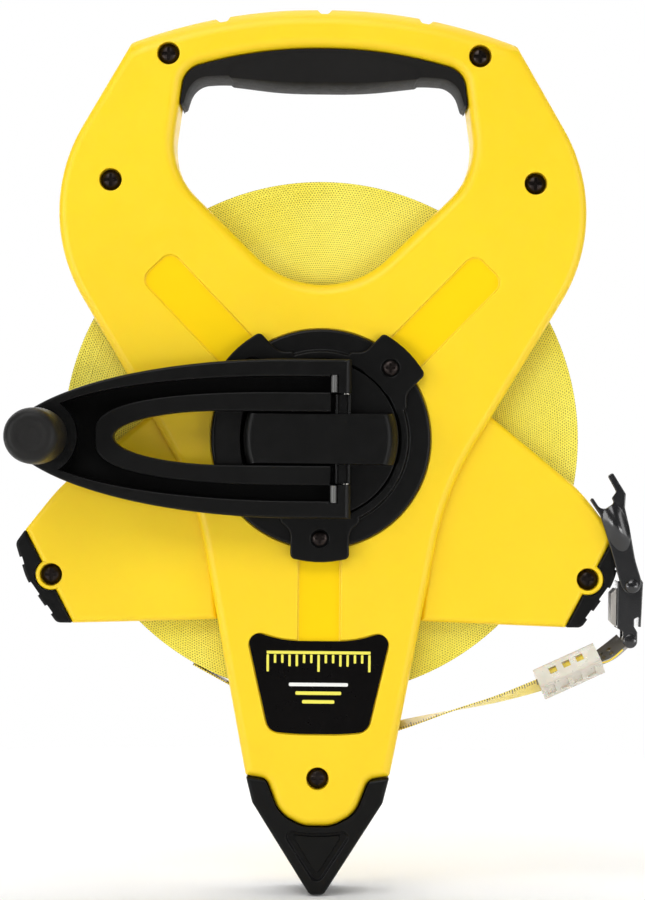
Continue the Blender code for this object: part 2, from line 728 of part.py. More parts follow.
def tongue_band(left, right, half, steps=5):
    """The disc's middle band: straight sides and ends that follow circles."""
    points = []
    for radius, middle in ((right, 0.0), (left, math.pi)):
        swing = math.asin(half / radius)
        points += [
            radius * Vector((math.cos(middle + a), math.sin(middle + a)))
            for a in (swing * (2 * k / steps - 1) for k in range(steps + 1))
        ]
    return points


def bar(name, outline, low, high, spec=None):
    """An outline of (across, depth) points carried upwards between two heights."""
    mesh = flat_shape(name, outline, high - low)
    mesh.transform(Matrix.Translation(place(0, 0, (low + high) / 2)))
    return add_object(name, mesh, spec)


def hinge_rod(name, radius, low, high, spec=None, sides=16):
    """A cylinder along the fold hinge between two heights."""
    return bar(name, circle(radius, (HINGE_ACROSS, HINGE_DEPTH), sides), low, high, spec)


def crank_hub():
    """The turning disc: gear carrier behind, raised tongue and hinge lugs in front."""
    profile = [
        (0, DISC_FACE), (28.4, DISC_FACE), (DISC_RADIUS, DISC_FACE + 0.4), (DISC_RADIUS, -17.6),
        (30.8, -17.6), (30.8, -15.0), (4.3, -15.0), (4.3, -19.8), (0, -19.8),
    ]
    body = turned("crank_hub", profile, (0, 0), BLACK, sides=40)
    tongue = [
        (-21.0, tongue_band(28.7, 28.7, TONGUE_HALF)), (-29.6, tongue_band(28.5, 28.3, TONGUE_HALF)),
        (-31.8, tongue_band(27.4, 26.0, TONGUE_HALF - 0.1)),
        (-32.6, tongue_band(25.7, 24.4, TONGUE_HALF - 0.6)),
    ]
    join(body, loft("tongue", tongue))
    crown = [Vector((HINGE_ACROSS, HINGE_DEPTH)) + 3.2 * Vector((math.cos(a), -math.sin(a)))
             for a in (math.pi * k / 8 for k in range(9))]
    lug = crown + [Vector((HINGE_ACROSS - 3.2, -21.0)), Vector((HINGE_ACROSS + 3.2, -21.0))]
    for low, high in ((-16.4, -9.0), (9.0, 16.4)):
        join(body, bar(f"lug {low}", lug, low, high))
    cut(body, hinge_rod("hub pin hole", FOLD_BORE, -BEYOND, BEYOND))
    for degrees in PLANET_ANGLES:
        at = polar(PLANET_ORBIT, degrees)
        join(body, rod(f"planet post {degrees}", PLANET_POST, -16.0, GEAR_BACK + 0.6, at, sides=12))
    return body


def crank_arm():
    """The pointed open arm, a channel bent round its slot, hinged on the disc."""
    outline = bullet(115.0, ARM_HALF, ARM_END, 10.0, 2.0, 0.575)
    inner = bullet(114.2, ARM_HALF - 0.8, ARM_END - 0.6, 10.0, 2.0, 0.575)
    sections = [(ARM_BACK, inner), (ARM_BACK - 0.8, outline), (ARM_FRONT + 0.8, outline), (ARM_FRONT, inner)]
    body = loft("crank_arm", sections, BLACK)
    trough = prism("trough", bullet(107.0, 22.9, 3.4, 10.0, 2.0, 0.42), -BEYOND, -25.6)
    cut(trough, prism("inner band", bullet(83.0, 17.1, 20.0, 10.0, 2.4, 0.33), -50, 0))
    cut(trough, rod("knob boss", 14.6, -50, 0, (-104.2, 0)))
    cut(body, trough)
    cut(body, prism("slot", bullet(76.3, 9.95, 20.0, 35.0, 2.0, 0.5), -50, 0))
    cut(body, block("hub lug room", (3.6, -50, -16.8), (20, 0, 16.8)))
    for side in (-1, 1):
        low, high = sorted((side * 16.0, side * 23.0))
        cut(body, block(f"barrel room {side}", (3.4, -50, low), (20, -31.2, high)))
    cut(body, hinge_rod("arm pin hole", FOLD_BORE, -BEYOND, BEYOND))
    cut(body, rod("knob pin hole", 3.2, -BEYOND, 0, (KNOB_ACROSS, 0)))
    hinge_rod("hinge_pin", FOLD_PIN, -29.0, 29.0, STEEL)
    return body


def knob():
    """The free-turning knob and the shouldered pin it turns on."""
    profile = [
        (3.3, -75.0), (5.0, -75.0), (5.0, -78.0), (6.6, -77.8), (8.6, -76.4), (10.2, -73.0), (11.0, -68.0),
        (11.2, -58.0), (10.9, -38.0), (10.2, -34.6), (9.4, -33.6), (3.3, -33.6),
    ]
    turned("knob", profile, (KNOB_ACROSS, 0), GRIP_RUBBER, sides=24)
    pin = [
        (0, -77.2), (3.6, -77.2), (4.6, -76.6), (4.6, -75.3), (2.9, -75.3), (2.9, -22.9), (0, -22.9),
    ]
    turned("knob_pin", pin, (KNOB_ACROSS, 0), BLACK_STEEL, sides=16)


# ---------------------------------------------------------------- free blade and hook


def ribbon(name, stations, width, thickness, spec):
    """A flat strip through stations, its width along Y except where it is tilted."""
    middles = [Vector((across, up)) for across, _, up, _ in stations]
    mesh = bpy.data.meshes.new(name)
    shape = bmesh.new()
    rings = []
    for index, (across, depth, up, tilt) in enumerate(stations):
        before = middles[max(index - 1, 0)]
        after = middles[min(index + 1, len(middles) - 1)]
        along = (after - before).normalized()
        lift = Vector((-along.y, along.x))
        lean = math.radians(tilt)
        wide = Vector((lift.x * math.sin(lean), math.cos(lean), lift.y * math.sin(lean))) * width / 2
        thick = Vector((lift.x * math.cos(lean), -math.sin(lean), lift.y * math.cos(lean))) * thickness / 2
        middle = Vector((across, depth, up))
        corners = (middle - wide - thick, middle + wide - thick, middle + wide + thick, middle - wide + thick)
        rings.append([shape.verts.new(place(*corner)) for corner in corners])
    for first, second in zip(rings, rings[1:]):
        for i in range(4):
            shape.faces.new((first[i - 1], first[i], second[i], second[i - 1]))
    shape.faces.new(rings[0])
    shape.faces.new(rings[-1])
    bmesh.ops.recalc_face_normals(shape, faces=shape.faces)
    shape.to_mesh(mesh)
    shape.free()
    return add_object(name, mesh, spec)


def smooth_stations(stations, steps=3):
    """Stations with points added on a smooth curve between them."""
    dense = []
    last = len(stations) - 1
    for i in range(last):
        four = [Vector(stations[max(i - 1, 0)]), Vector(stations[i]), Vector(stations[i + 1]),
                Vector(stations[min(i + 2, last)])]
        for k in range(steps):
            t = k / steps
            along = (four[2] - four[0]) / 2 * (t - 2 * t**2 + t**3) + (four[3] - four[1]) / 2 * (t**3 - t**2)
            dense.append(four[1] * (1 - 3 * t**2 + 2 * t**3) + four[2] * (3 * t**2 - 2 * t**3) + along)
    return dense + [Vector(stations[last])]


def blade_end():
    """The blade from the winding to its end, with the sleeve and the bracket on it."""
    off = WINDING_RADIUS + 0.4 + TAPE_THICKNESS / 2
    leave = (off * math.cos(TAPE_LEAVES), 0.0, off * math.sin(TAPE_LEAVES), 0.0)
    stations = smooth_stations((leave, *BLADE_STATIONS))
    ribbon("blade_run", stations, TAPE_WIDTH, TAPE_THICKNESS, BLADE)
    sleeve = ribbon("end_sleeve", (SLEEVE_FROM, SLEEVE_TO), SLEEVE_WIDTH, SLEEVE_THICKNESS, MILKY)
    middle = (Vector(SLEEVE_FROM) + Vector(SLEEVE_TO)) / 2
    reach = (Vector(SLEEVE_TO) - Vector(SLEEVE_FROM)) * 0.7
    cut(sleeve, ribbon("sleeve way", (middle - reach, middle + reach), TAPE_WIDTH + 0.6, 1.1, None))
    for share in (0.3, 0.5, 0.7):
        at = Vector(SLEEVE_FROM).lerp(Vector(SLEEVE_TO), share)
        low = (at.x - 1.5, -30, at.z + 0.2)
        cut(sleeve, block(f"sleeve window {share}", low, (at.x + 1.5, -9.5, at.z + 3.2)))
    bracket = ribbon("end_bracket", BRACKET_STATIONS, 10.0, 1.6, STEEL)
    eye = rod("bracket eye", 2.4, HOOK_MIDDLE - 3.4, HOOK_MIDDLE + 3.4, HOOK_PIVOT)
    join(bracket, eye)
    cut(bracket, rod("bracket bore", 1.5, -30, 30, HOOK_PIVOT))


def hook():
    """The end hook: a body hung on the bracket's pin, a side plate, and a claw on a rivet."""
    near, far = HOOK_MIDDLE - HOOK_HALF, HOOK_MIDDLE + HOOK_HALF
    body = prism("hook_body", rounded(HOOK_OUTLINE), near, far, BLACK_STEEL)
    cut(body, block("eye gap", (108, HOOK_MIDDLE - 5.4, -85), (125, HOOK_MIDDLE + 5.4, -69.2)))
    cut(body, rod("eye bore", 1.5, -BEYOND, BEYOND, HOOK_PIVOT))
    cut(body, rod("rivet bore", 1.7, -BEYOND, BEYOND, CLAW_RIVET))
    pin = [
        (0, near - 0.9), (2.4, near - 0.9), (2.4, near - 0.3),
        (1.2, near - 0.3), (1.2, far - 0.4), (0, far - 0.4),
    ]
    turned("hook_pin", pin, HOOK_PIVOT, BLACK_STEEL, sides=14)
    prism("hook_plate", rounded(PLATE_OUTLINE), near + 0.6, far - 0.6, STEEL)
    claw = prism("claw", rounded(CLAW_OUTLINE), near - 1.9, near - 0.3, BLACK_STEEL)
    cut(claw, rod("claw bore", 1.7, -BEYOND, BEYOND, CLAW_RIVET))
    rivet = [
        (0, near - 3.2), (1.6, near - 3.2), (2.6, near - 2.2),
        (1.4, near - 2.2), (1.4, far - 0.4), (0, far - 0.4),
    ]
    turned("claw_rivet", rivet, CLAW_RIVET, BLACK_STEEL, sides=14)


def leg_roller():
    """The guide roller the blade bends over inside the leg, on its pin."""
    sleeve = [(1.9, -7.6), (ROLLER_RADIUS, -7.6), (ROLLER_RADIUS, 7.6), (1.9, 7.6)]
    turned("guide_roller", sleeve, ROLLER, NYLON, sides=20)
    rod("roller_pin", 1.6, -14.0, 14.0, ROLLER, STEEL, sides=12)


def joint_axes():
    """Empties on the joints' axes, each the parent of the pieces that turn about it."""
    hinge = (HINGE_ACROSS, HINGE_DEPTH, 0.0)
    pivot = (HOOK_PIVOT[0], HOOK_MIDDLE, HOOK_PIVOT[1])
    rivet = (CLAW_RIVET[0], HOOK_MIDDLE - HOOK_HALF, CLAW_RIVET[1])
    gear_middle = (GEAR_FRONT + GEAR_BACK) / 2
    axes = [
        ("reel_axis", None, (0.0, 0.0, 0.0), ("reel_drum", "tape_winding", "sun_gear")),
        ("crank_axis", None, (0.0, DISC_FACE + 4.0, 0.0), ("crank_hub", "hinge_pin")),
        ("fold_axis", "crank_axis", hinge, ("crank_arm", "knob_pin")),
        ("knob_axis", "fold_axis", (KNOB_ACROSS, -55.0, 0.0), ("knob",)),
        ("roller_axis", None, (ROLLER[0], 0.0, ROLLER[1]), ("guide_roller",)),
        ("hook_axis", None, pivot, ("hook_body", "hook_pin", "hook_plate", "claw_rivet")),
        ("claw_axis", "hook_axis", rivet, ("claw",)),
    ]
    for index, degrees in enumerate(PLANET_ANGLES):
        x, z = polar(PLANET_ORBIT, degrees)
        wheel = (f"planet_gear_{index + 1}",)
        axes.append((f"planet_axis_{index + 1}", "crank_axis", (x, gear_middle, z), wheel))
    for name, parent, at, pieces in axes:
        empty = bpy.data.objects.new(name, None)
        PART.objects.link(empty)
        empty.location = place(*at)
        if parent:
            hang(empty, bpy.data.objects[parent])
        for piece in pieces:
            hang(bpy.data.objects[piece], empty)


def hang(child, parent):
    """Parents without moving: the child keeps its place in the world."""
    child.parent = parent
    child.matrix_parent_inverse = Matrix.Translation(-parent.location)


def build():
    for thing in list(bpy.data.objects):
        bpy.data.objects.remove(thing, do_unlink=True)
    for collection in (PART, CUTTERS):
        bpy.context.scene.collection.children.link(collection)
    shell("front_shell", -1)
    shell("rear_shell", 1)
    boot()
    bumper("left_bumper", -1)
    bumper("right_bumper", 1)
    grip()
    soft_plate("label_plate", mirrored(LABEL_RIGHT), -FRAME_HALF + 0.1, -FRAME_HALF + 0.7, 0.2, LABEL)
    case_screws()
    gears()
    reel()
    hub_cover()
    crank_hub()
    crank_arm()
    knob()
    blade_end()
    hook()
    leg_roller()
    joint_axes()


build()
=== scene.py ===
import math

import bmesh
import bpy
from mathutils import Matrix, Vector


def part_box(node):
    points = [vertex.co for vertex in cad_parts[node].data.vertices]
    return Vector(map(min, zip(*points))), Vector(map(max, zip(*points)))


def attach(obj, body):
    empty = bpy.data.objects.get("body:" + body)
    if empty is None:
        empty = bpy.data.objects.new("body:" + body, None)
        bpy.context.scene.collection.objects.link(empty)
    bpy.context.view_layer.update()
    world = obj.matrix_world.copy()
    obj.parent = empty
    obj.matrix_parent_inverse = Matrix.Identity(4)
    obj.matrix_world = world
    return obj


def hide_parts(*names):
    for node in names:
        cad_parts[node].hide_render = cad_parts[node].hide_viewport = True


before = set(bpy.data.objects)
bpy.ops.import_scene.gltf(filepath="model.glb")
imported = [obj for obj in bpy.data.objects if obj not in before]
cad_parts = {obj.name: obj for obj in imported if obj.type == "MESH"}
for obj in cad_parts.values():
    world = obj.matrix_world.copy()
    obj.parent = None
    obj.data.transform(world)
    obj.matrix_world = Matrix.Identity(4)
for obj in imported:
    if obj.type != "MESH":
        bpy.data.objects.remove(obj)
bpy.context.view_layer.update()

# The looks of the surveyor tape reel.  Outlines are in millimetres about the reel axis, as
# (across, up), and depths are millimetres along Y, with the crank side at -Y.
MM = 0.001
WINDING_LOW, WINDING_HIGH = (Vector(corner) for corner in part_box("tape_winding"))
HUB = (WINDING_LOW + WINDING_HIGH) / 2
WINDING_RADIUS = (WINDING_HIGH.x - WINDING_LOW.x) / 2 / MM
WINDING_HALF = (WINDING_HIGH.y - WINDING_LOW.y) / 2 / MM
WINDING_CORE = 34.4
WEAVE_PITCH = 0.8        # between rows of dark weave ends
WEAVE_ENDS = 560         # in one turn
TURN_PITCH = 0.42        # between turns of the blade

# Case.
FRAME_HALF = 17.5
WING_HALF = 13.5
WALL = 2.4
FRAME_ROUND = 3.4
WING_ROUND = 2.2
WINDOW_ROUND = 4.4
BROW_ROUND = 6.4
SEAM = 0.15
GAP = 0.3
WINDING_ROOM = 98.8
SIDE_ROOM = 8.2
CHANNEL_DEPTH = 1.2
CHANNEL_HALF = 7.9
LABEL_DEPTH = 1.0
WING_SCREW = (100.2, -51.5)
LEG_SCREW = (0.0, -126.4)
COVER_SEAT = 41.3
GEAR_SEAT = 30.5
GEAR_LIP = 26.8
AXLE_BORE = 4.3
BEYOND = 40.0            # past every face, for cutters that go right through

# Hub and crank.
HUB_BORE = 32.0
COVER_RADIUS = 40.8
COVER_RING = 32.4
COVER_BORE = 29.4
COVER_FACE = 21.5
DISC_RADIUS = 28.9
LOBE_ANGLES = (46, 134, 270)
LOBE_HALF = 10.9
LOBE_SCREW_RADIUS = 36.9
TONGUE_HALF = 9.5
HINGE_ACROSS = 9.2
HINGE_DEPTH = -27.9
ARM_BACK = -22.6
ARM_FRONT = -33.2
ARM_HALF = 29.3
ARM_END = 11.2
KNOB_ACROSS = -102.6
KNOB_FRONT = -77.75
KNOB_TOP = 6.6
ARM_RIM = 1.1
ARM_LIP = 0.6
TROUGH_FLOOR = -25.6
SKIRT_RADIUS = 30.8
PLANET_ORBIT = 18.0
PLANET_ANGLES = (90, 210, 330)

# Degrees to a chord of a rounded corner, by the corner's radius.
ARC_STEPS = ((1.0, 18.0), (8.0, 9.0), (50.0, 5.0), (math.inf, 2.0))

# Case screws as (node, across, up, depth of the shell face there).
CASE_SCREWS = (
    ("handle_screw_l", -58.0, 143.0, FRAME_HALF),
    ("handle_screw_r", 58.0, 143.0, FRAME_HALF),
    ("arm_screw_l", -79.1, 95.8, FRAME_HALF),
    ("arm_screw_r", 79.1, 95.8, FRAME_HALF),
    ("wing_screw_l", -WING_SCREW[0], WING_SCREW[1], WING_HALF),
    ("wing_screw_r", *WING_SCREW, WING_HALF),
    ("leg_screw", *LEG_SCREW, FRAME_HALF),
)

# Right halves of the outlines: (across, up, corner radius), clockwise from the top.
FRAME_RIGHT = (
    (36.0, 160.15, 195.0),
    (71.5, 147.5, 4.0),
    (108.4, 84.0, 63.0),
    (47.2, -18.7, 110.0),
    (26.8, -125.4, 1.2),
    (19.2, -126.6, 3.5),
    (14.2, -139.6, 12.0),
    (5.5, -144.2, 12.0),
)
WINDOW_RIGHT = (
    (24.0, 145.6, 165.0),
    (52.0, 137.6, 9.0),
    (57.3, 99.6, 28.0),
    (0.0, 43.6, 35.0),
)
WING_RIGHT = (
    (45.0, 24.0, 0.5),
    (97.0, -18.3, 60.0),
    (110.0, -34.8, 0.5),
    (92.1, -69.5, 0.5),
    (38.0, -67.7, 0.5),
)
BUMPER_RIGHT = (
    (110.0, -34.8, 0.4),
    (113.6, -39.9, 3.0),
    (109.4, -53.6, 20.0),
    (98.0, -69.5, 3.0),
    (92.1, -69.5, 0.4),
)
BOOT_RIGHT = (
    (12.0, -118.5, 6.0),
    (16.0, -127.5, 0.5),
    (26.75, -125.7, 0.5),
    (24.3, -135.4, 3.0),
    (2.6, -169.7, 2.4),
)
BOOT_PANEL = (
    (-13.4, -145.6, 2.0),
    (0.0, -166.4, 2.5),
    (13.4, -145.6, 2.0),
    (0.0, -147.6, 60.0),
)
LABEL_RIGHT = (
    (14.0, -75.2, 38.0),
    (27.2, -70.6, 3.6),
    (18.4, -108.9, 5.0),
    (8.0, -109.8, 60.0),
)
GRIP_RIGHT = (
    (24.0, 145.3, 160.0),
    (51.8, 137.3, 8.7),
    (53.6, 123.8, 1.0),
    (50.6, 123.2, 1.0),
    (47.6, 132.6, 8.0),
    (34.0, 132.8, 60.0),
    (12.0, 128.4, 120.0),
)
GRIP_PAD = (
    (-33.6, 131.9, 1.0), (-12.0, 128.2, 110.0), (12.0, 128.2, 110.0), (33.6, 131.9, 1.0),
    (31.6, 136.2, 3.0), (12.0, 139.4, 90.0), (-12.0, 139.4, 90.0), (-31.6, 136.2, 3.0),
)
GRIP_LIFT = 2.2          # how far the grip's free side is drawn back towards the handle

# The top of the handle: where it is trimmed, and its thumb notches as (across, floor).
BROW_RIGHT = (
    (36.0, 160.3, 195.0),
    (150.0, 119.2, 0.5),
    (150.0, -220.0, 0.5),
)
TOP_FLAT = 2.3
TOP_ARC = 195.0
NOTCHES = ((-37.6, 155.0), (0, 158.3), (37.6, 155.0))

# The free blade as stations (across, depth, up, tilt in degrees): tilt lowers its front edge.
TAPE_WIDTH = 13.0
TAPE_THICKNESS = 0.5
TAPE_LEAVES = math.radians(241)
BLADE_STATIONS = (
    (-20.0, 0.0, -99.7, 0.0),
    (1.4, 0.0, -111.6, 2.0),
    (7.4, 0.0, -113.4, 4.0),
    (13.4, -0.1, -112.8, 6.0),
    (29.7, -0.6, -107.9, 10.0),
    (51.0, -2.2, -101.6, -5.0),
    (67.5, -3.6, -97.0, -15.0),
    (83.4, -5.0, -91.4, -25.0),
    (92.0, -5.5, -87.6, -25.0),
)
ROLLER = (6.8, -108.0)
SLEEVE_FROM = (82.9, -5.0, -91.6, -25.0)
SLEEVE_TO = (105.2, -6.2, -81.1, -25.0)
SLEEVE_WIDTH = 14.8
SLEEVE_THICKNESS = 8.0
BRACKET_STATIONS = (
    (105.0, -6.4, -81.2, 24.0),
    (109.2, -6.8, -78.6, 32.0),
    (113.9, -7.0, -74.6, 30.0),
)
LOOP_STATIONS = (
    (104.2, -6.2, -83.0, 0.0),
    (109.0, -6.8, -81.6, 0.0),
    (113.6, -7.0, -77.6, 0.0),
)
SLOT_HALF = 0.0011       # metres, from the middle of a bracket slot to its corners

# The end hook.
HOOK_MIDDLE = -7.0
HOOK_HALF = 6.8
HOOK_PIVOT = (116.1, -74.3)
HOOK_OUTLINE = (
    (111.2, -52.0, 0.6),
    (111.2, -69.6, 0.6),
    (113.4, -70.6, 1.0),
    (113.4, -77.0, 2.6),
    (118.8, -77.0, 2.6),
    (118.8, -71.0, 1.0),
    (117.6, -69.0, 0.4),
    (117.6, -66.0, 0.4),
    (119.2, -65.2, 0.3),
    (119.1, -69.0, 0.3),
    (120.1, -69.0, 0.3),
    (120.8, -52.4, 0.5),
    (118.8, -49.4, 0.6),
)
PLATE_OUTLINE = (
    (110.9, -54.6, 0.2),
    (108.9, -56.6, 0.4),
    (108.9, -67.2, 0.8),
    (110.9, -69.2, 0.2),
)
CLAW_RIVET = (116.5, -53.8)
CLAW_OUTLINE = (
    (112.4, -54.0, 4.1),
    (116.6, -59.6, 3.6),
    (120.4, -53.0, 4.1),
    (117.6, -44.0, 20.0),
    (115.4, -32.0, 20.0),
    (113.6, -24.6, 3.0),
    (113.9, -19.4, 1.2),
    (108.9, -11.4, 0.7),
    (107.0, -12.8, 0.7),
    (110.2, -18.6, 0.8),
    (108.6, -21.0, 0.5),
    (109.4, -22.8, 1.0),
    (105.0, -26.0, 2.6),
    (101.0, -20.0, 0.7),
    (100.6, -22.0, 0.7),
    (104.4, -27.6, 3.0),
    (108.4, -40.0, 20.0),
)

# Camera: the photograph is taken level with the reel axis from about 1.2 m.
CAMERA_DISTANCE = 1.2
CAMERA_LENS = 129.1
CAMERA_ROLL = math.radians(0.55)
CAMERA_TARGET = Vector((0.0007, -FRAME_HALF * MM, HUB.z - 0.0041))


# ---------------------------------------------------------------- outlines


def mirrored(right):
    """The whole outline, counter-clockwise, from the right half given clockwise from the top."""
    centre = [c for c in right if c[0] == 0]
    sides = [c for c in right if c[0] != 0]
    left = [(-x, z, r) for x, z, r in sides]
    return left + centre + sides[::-1]


def one_side(corners, side):
    """A right-hand outline, or its mirror image on the left, counter-clockwise."""
    if side < 0:
        return [(-x, z, r) for x, z, r in corners]
    return list(corners[::-1])


def turned_corners(corners, degrees):
    """Corners turned about the reel axis."""
    c, s = math.cos(math.radians(degrees)), math.sin(math.radians(degrees))
    return [(x * c - z * s, x * s + z * c, r) for x, z, r in corners]


def polar(radius, degrees):
    """A point at that radius and angle from the reel axis."""
    return (radius * math.cos(math.radians(degrees)), radius * math.sin(math.radians(degrees)))


def quarter(steps):
    """Angles from nought to a right angle."""
    return [0.5 * math.pi * k / steps for k in range(steps + 1)]


def rounded(corners, inset=0.0):
    """Points of a counter-clockwise outline with its corners rounded, moved inwards by inset."""
    count = len(corners)
    at = [Vector((c[0], c[1])) for c in corners]
    along = [(at[(i + 1) % count] - at[i]).normalized() for i in range(count)]
    points = []
    for i in range(count):
        before, after = along[i - 1], along[i]
        turn = math.atan2(before.cross(after), before.dot(after))
        inward = Vector((-before.y - after.y, before.x + after.x)) / (1 + before.dot(after))
        corner = at[i] + inward * inset
        given = corners[i][2]
        radius = max(given - inset, 0.05) if turn > 0 else max(given + inset, 0.05)
        side = math.copysign(1.0, turn)
        centre = corner + inward * radius * side
        arc_step = next(step for limit, step in ARC_STEPS if given < limit)
        steps = max(1, round(abs(math.degrees(turn)) / arc_step))
        first = math.atan2(-before.x * side, before.y * side)
        for k in range(steps + 1):
            angle = first + turn * k / steps
            points.append(centre + radius * Vector((math.cos(angle), math.sin(angle))))
    return points


def circle(radius, centre=(0.0, 0.0), sides=48):
    """A round outline."""
    angles = [2 * math.pi * k / sides for k in range(sides)]
    return [Vector((centre[0] + radius * math.cos(a), centre[1] + radius * math.sin(a))) for a in angles]


def bullet(tip, half, root, shoulder, fullness, blunt, steps=36):
    """The crank arm's pointed outline: straight sides from root, then a superellipse to its left tip."""
    upper = [Vector((root, half))]
    for angle in quarter(steps):
        share = math.sin(angle)
        height = half * max(0.0, 1 - share**fullness) ** blunt
        upper.append(Vector((-(shoulder + (tip - shoulder) * share), height)))
    return upper + [Vector((p.x, -p.y)) for p in reversed(upper[:-1])]


# ---------------------------------------------------------------- solids


def place(across, depth, up):
    """A point in metres from millimetres about the reel axis."""
    return Vector((HUB.x + across * MM, depth * MM, HUB.z + up * MM))


def new_object(name, mesh):
    made = bpy.data.objects.new(name, mesh)
    bpy.context.scene.collection.objects.link(made)
    return made


def from_bmesh(name, shape):
    """An object from a bmesh, with its faces turned outwards."""
    bmesh.ops.remove_doubles(shape, verts=shape.verts, dist=1e-7)
    bmesh.ops.recalc_face_normals(shape, faces=shape.faces)
    mesh = bpy.data.meshes.new(name)
    shape.to_mesh(mesh)
    shape.free()
    return new_object(name, mesh)


def loft(name, sections):
    """A closed solid through sections, each (depth, outline), all with the same number of points."""
    shape = bmesh.new()
    rings = [[shape.verts.new(place(p.x, depth, p.y)) for p in outline] for depth, outline in sections]
    for first, second in zip(rings, rings[1:]):
        for i in range(len(first)):
            shape.faces.new((first[i - 1], first[i], second[i], second[i - 1]))
    shape.faces.new(rings[0])
    shape.faces.new(rings[-1])
    return from_bmesh(name, shape)


def prism(name, outline, front, back):
    return loft(name, [(front, outline), (back, outline)])


def bar(name, outline, low, high):
    """An outline of (across, depth) points carried upwards between two heights."""
    shape = bmesh.new()
    rings = [[shape.verts.new(place(p.x, p.y, up)) for p in outline] for up in (low, high)]
    for i in range(len(outline)):
        shape.faces.new((rings[0][i - 1], rings[0][i], rings[1][i], rings[1][i - 1]))
    shape.faces.new(rings[0])
    shape.faces.new(rings[1])
    return from_bmesh(name, shape)


def edge_sections(corners, face, other, edge, inset, steps):
    """Sections from the depth called face inwards, rounding that edge."""
    inward = math.copysign(1.0, other - face)
    sections = []
    for k in range(steps + 1):
        angle = 0.5 * math.pi * (1 - k / steps)
        depth = face + inward * edge * (1 - math.sin(angle))
        sections.append((depth, rounded(corners, inset + edge * (1 - math.cos(angle)))))
    return sections


def soft_plate(name, corners, face, other, edge, inset=0.0, steps=6):
    """A prism of rounded corners whose edge at the depth called face is rounded by edge."""
    sections = edge_sections(corners, face, other, edge, inset, steps)
    return loft(name, sections + [(other, rounded(corners, inset))])


def slab(name, corners, half, edge, steps=6):
    """A prism centred on the middle plane with both of its edges rounded."""
    front = edge_sections(corners, -half, 0, edge, 0.0, steps)
    back = edge_sections(corners, half, 0, edge, 0.0, steps)
    return loft(name, front + back[::-1])


def soft_cutter(name, corners, face, depth, side, flare, reach, grow=0.0):
    """A cutter for a recess with a rounded mouth and floor, sunk by depth into a face on that side."""
    sections = [(side * (face - depth), rounded(corners, flare * 0.8 - grow))]
    for angle in quarter(5)[1:]:
        level = face - depth + 0.8 * flare * (1 - math.cos(angle))
        sections.append((side * level, rounded(corners, 0.8 * flare * (1 - math.sin(angle)) - grow)))
    for angle in quarter(5):
        level = face - flare * (1 - math.sin(angle))
        sections.append((side * level, rounded(corners, -flare * (1 - math.cos(angle)) - grow)))
    sections.append((side * (face + reach), rounded(corners, -flare - 0.3 * reach - grow)))
    return loft(name, sections)


def turned(name, profile, centre=(0.0, 0.0), sides=96):
    """A solid turned about an axis along Y from a profile of (radius, depth) points."""
    shape = bmesh.new()
    across, up = centre
    line = [shape.verts.new(place(across + r, d, up)) for r, d in profile]
    edges = [shape.edges.new((a, b)) for a, b in zip(line, line[1:])]
    if profile[0][0] > 0:
        edges.append(shape.edges.new((line[-1], line[0])))
    bmesh.ops.spin(
        shape, geom=line + edges, cent=place(across, 0, up), axis=(0, 1, 0), angle=2 * math.pi,
        steps=sides, use_merge=True,
    )
    return from_bmesh(name, shape)


def rod(name, radius, front, back, centre=(0.0, 0.0), sides=48):
    return prism(name, circle(radius, centre, sides), front, back)


def block(name, low, high):
    """A box between two corners, each (across, depth, up)."""
    first = [min(pair) for pair in zip(low, high)]
    second = [max(pair) for pair in zip(low, high)]
    outline = [Vector((first[0], first[2])), Vector((second[0], first[2])),
               Vector((second[0], second[2])), Vector((first[0], second[2]))]
    return prism(name, outline, first[1], second[1])


def dome(radius, front, height, steps, flat=0.0):
    """A turned profile's domed front, past its middle point."""
    return [(flat + radius * math.sin(a), front + height * (1 - math.cos(a))) for a in quarter(steps)[1:]]


def fillet_profile(points, radius, steps=4):
    """A turned profile with its inner corners replaced by small arcs."""
    soft = [points[0]]
    for before, at, after in zip(points, points[1:], points[2:]):
        here = Vector(at)
        back = Vector(before) - here
        ahead = Vector(after) - here
        reach = min(radius, back.length * 0.45, ahead.length * 0.45)
        start = here + back.normalized() * reach
        end = here + ahead.normalized() * reach
        for k in range(steps + 1):
            t = k / steps
            point = start * (1 - t) ** 2 + here * 2 * t * (1 - t) + end * t**2
            soft.append((point.x, point.y))
    return soft + [points[-1]]


def baked(target):
    """Applies an object's modifiers to its mesh and removes the cutters they used."""
    tools = [m.object for m in target.modifiers if m.type == "BOOLEAN"]
    depsgraph = bpy.context.evaluated_depsgraph_get()
    mesh = bpy.data.meshes.new_from_object(target.evaluated_get(depsgraph))
    target.modifiers.clear()
    old = target.data
    target.data = mesh
    bpy.data.meshes.remove(old)
    for tool in tools:
        bpy.data.objects.remove(tool, do_unlink=True)
    return target


def combine(target, operation, *tools):
    """Boolean modifiers on target, one for each tool, applied at once."""
    for tool in tools:
        modifier = target.modifiers.new(tool.name, "BOOLEAN")
        modifier.operation = operation
        modifier.solver = "EXACT"
        modifier.object = tool
    return baked(target)


def cut(target, *tools):
    return combine(target, "DIFFERENCE", *tools)


def join(target, *tools):
    return combine(target, "UNION", *tools)


def finish_piece(target, body, nodes, slot, *finishes, angle=32.0):
    """Shades a piece, gives it its materials, hangs it on its body and hides the CAD nodes it stands in for.
    """
    for spec in finishes:
        target.data.materials.append(spec)
    target.data.shade_smooth()
    target.data.set_sharp_from_angle(angle=math.radians(angle))
    weighted = target.modifiers.new("even shading", "WEIGHTED_NORMAL")
    weighted.keep_sharp = True
    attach(target, body)
    if nodes:
        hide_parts(*nodes)
    return target


# ---------------------------------------------------------------- materials


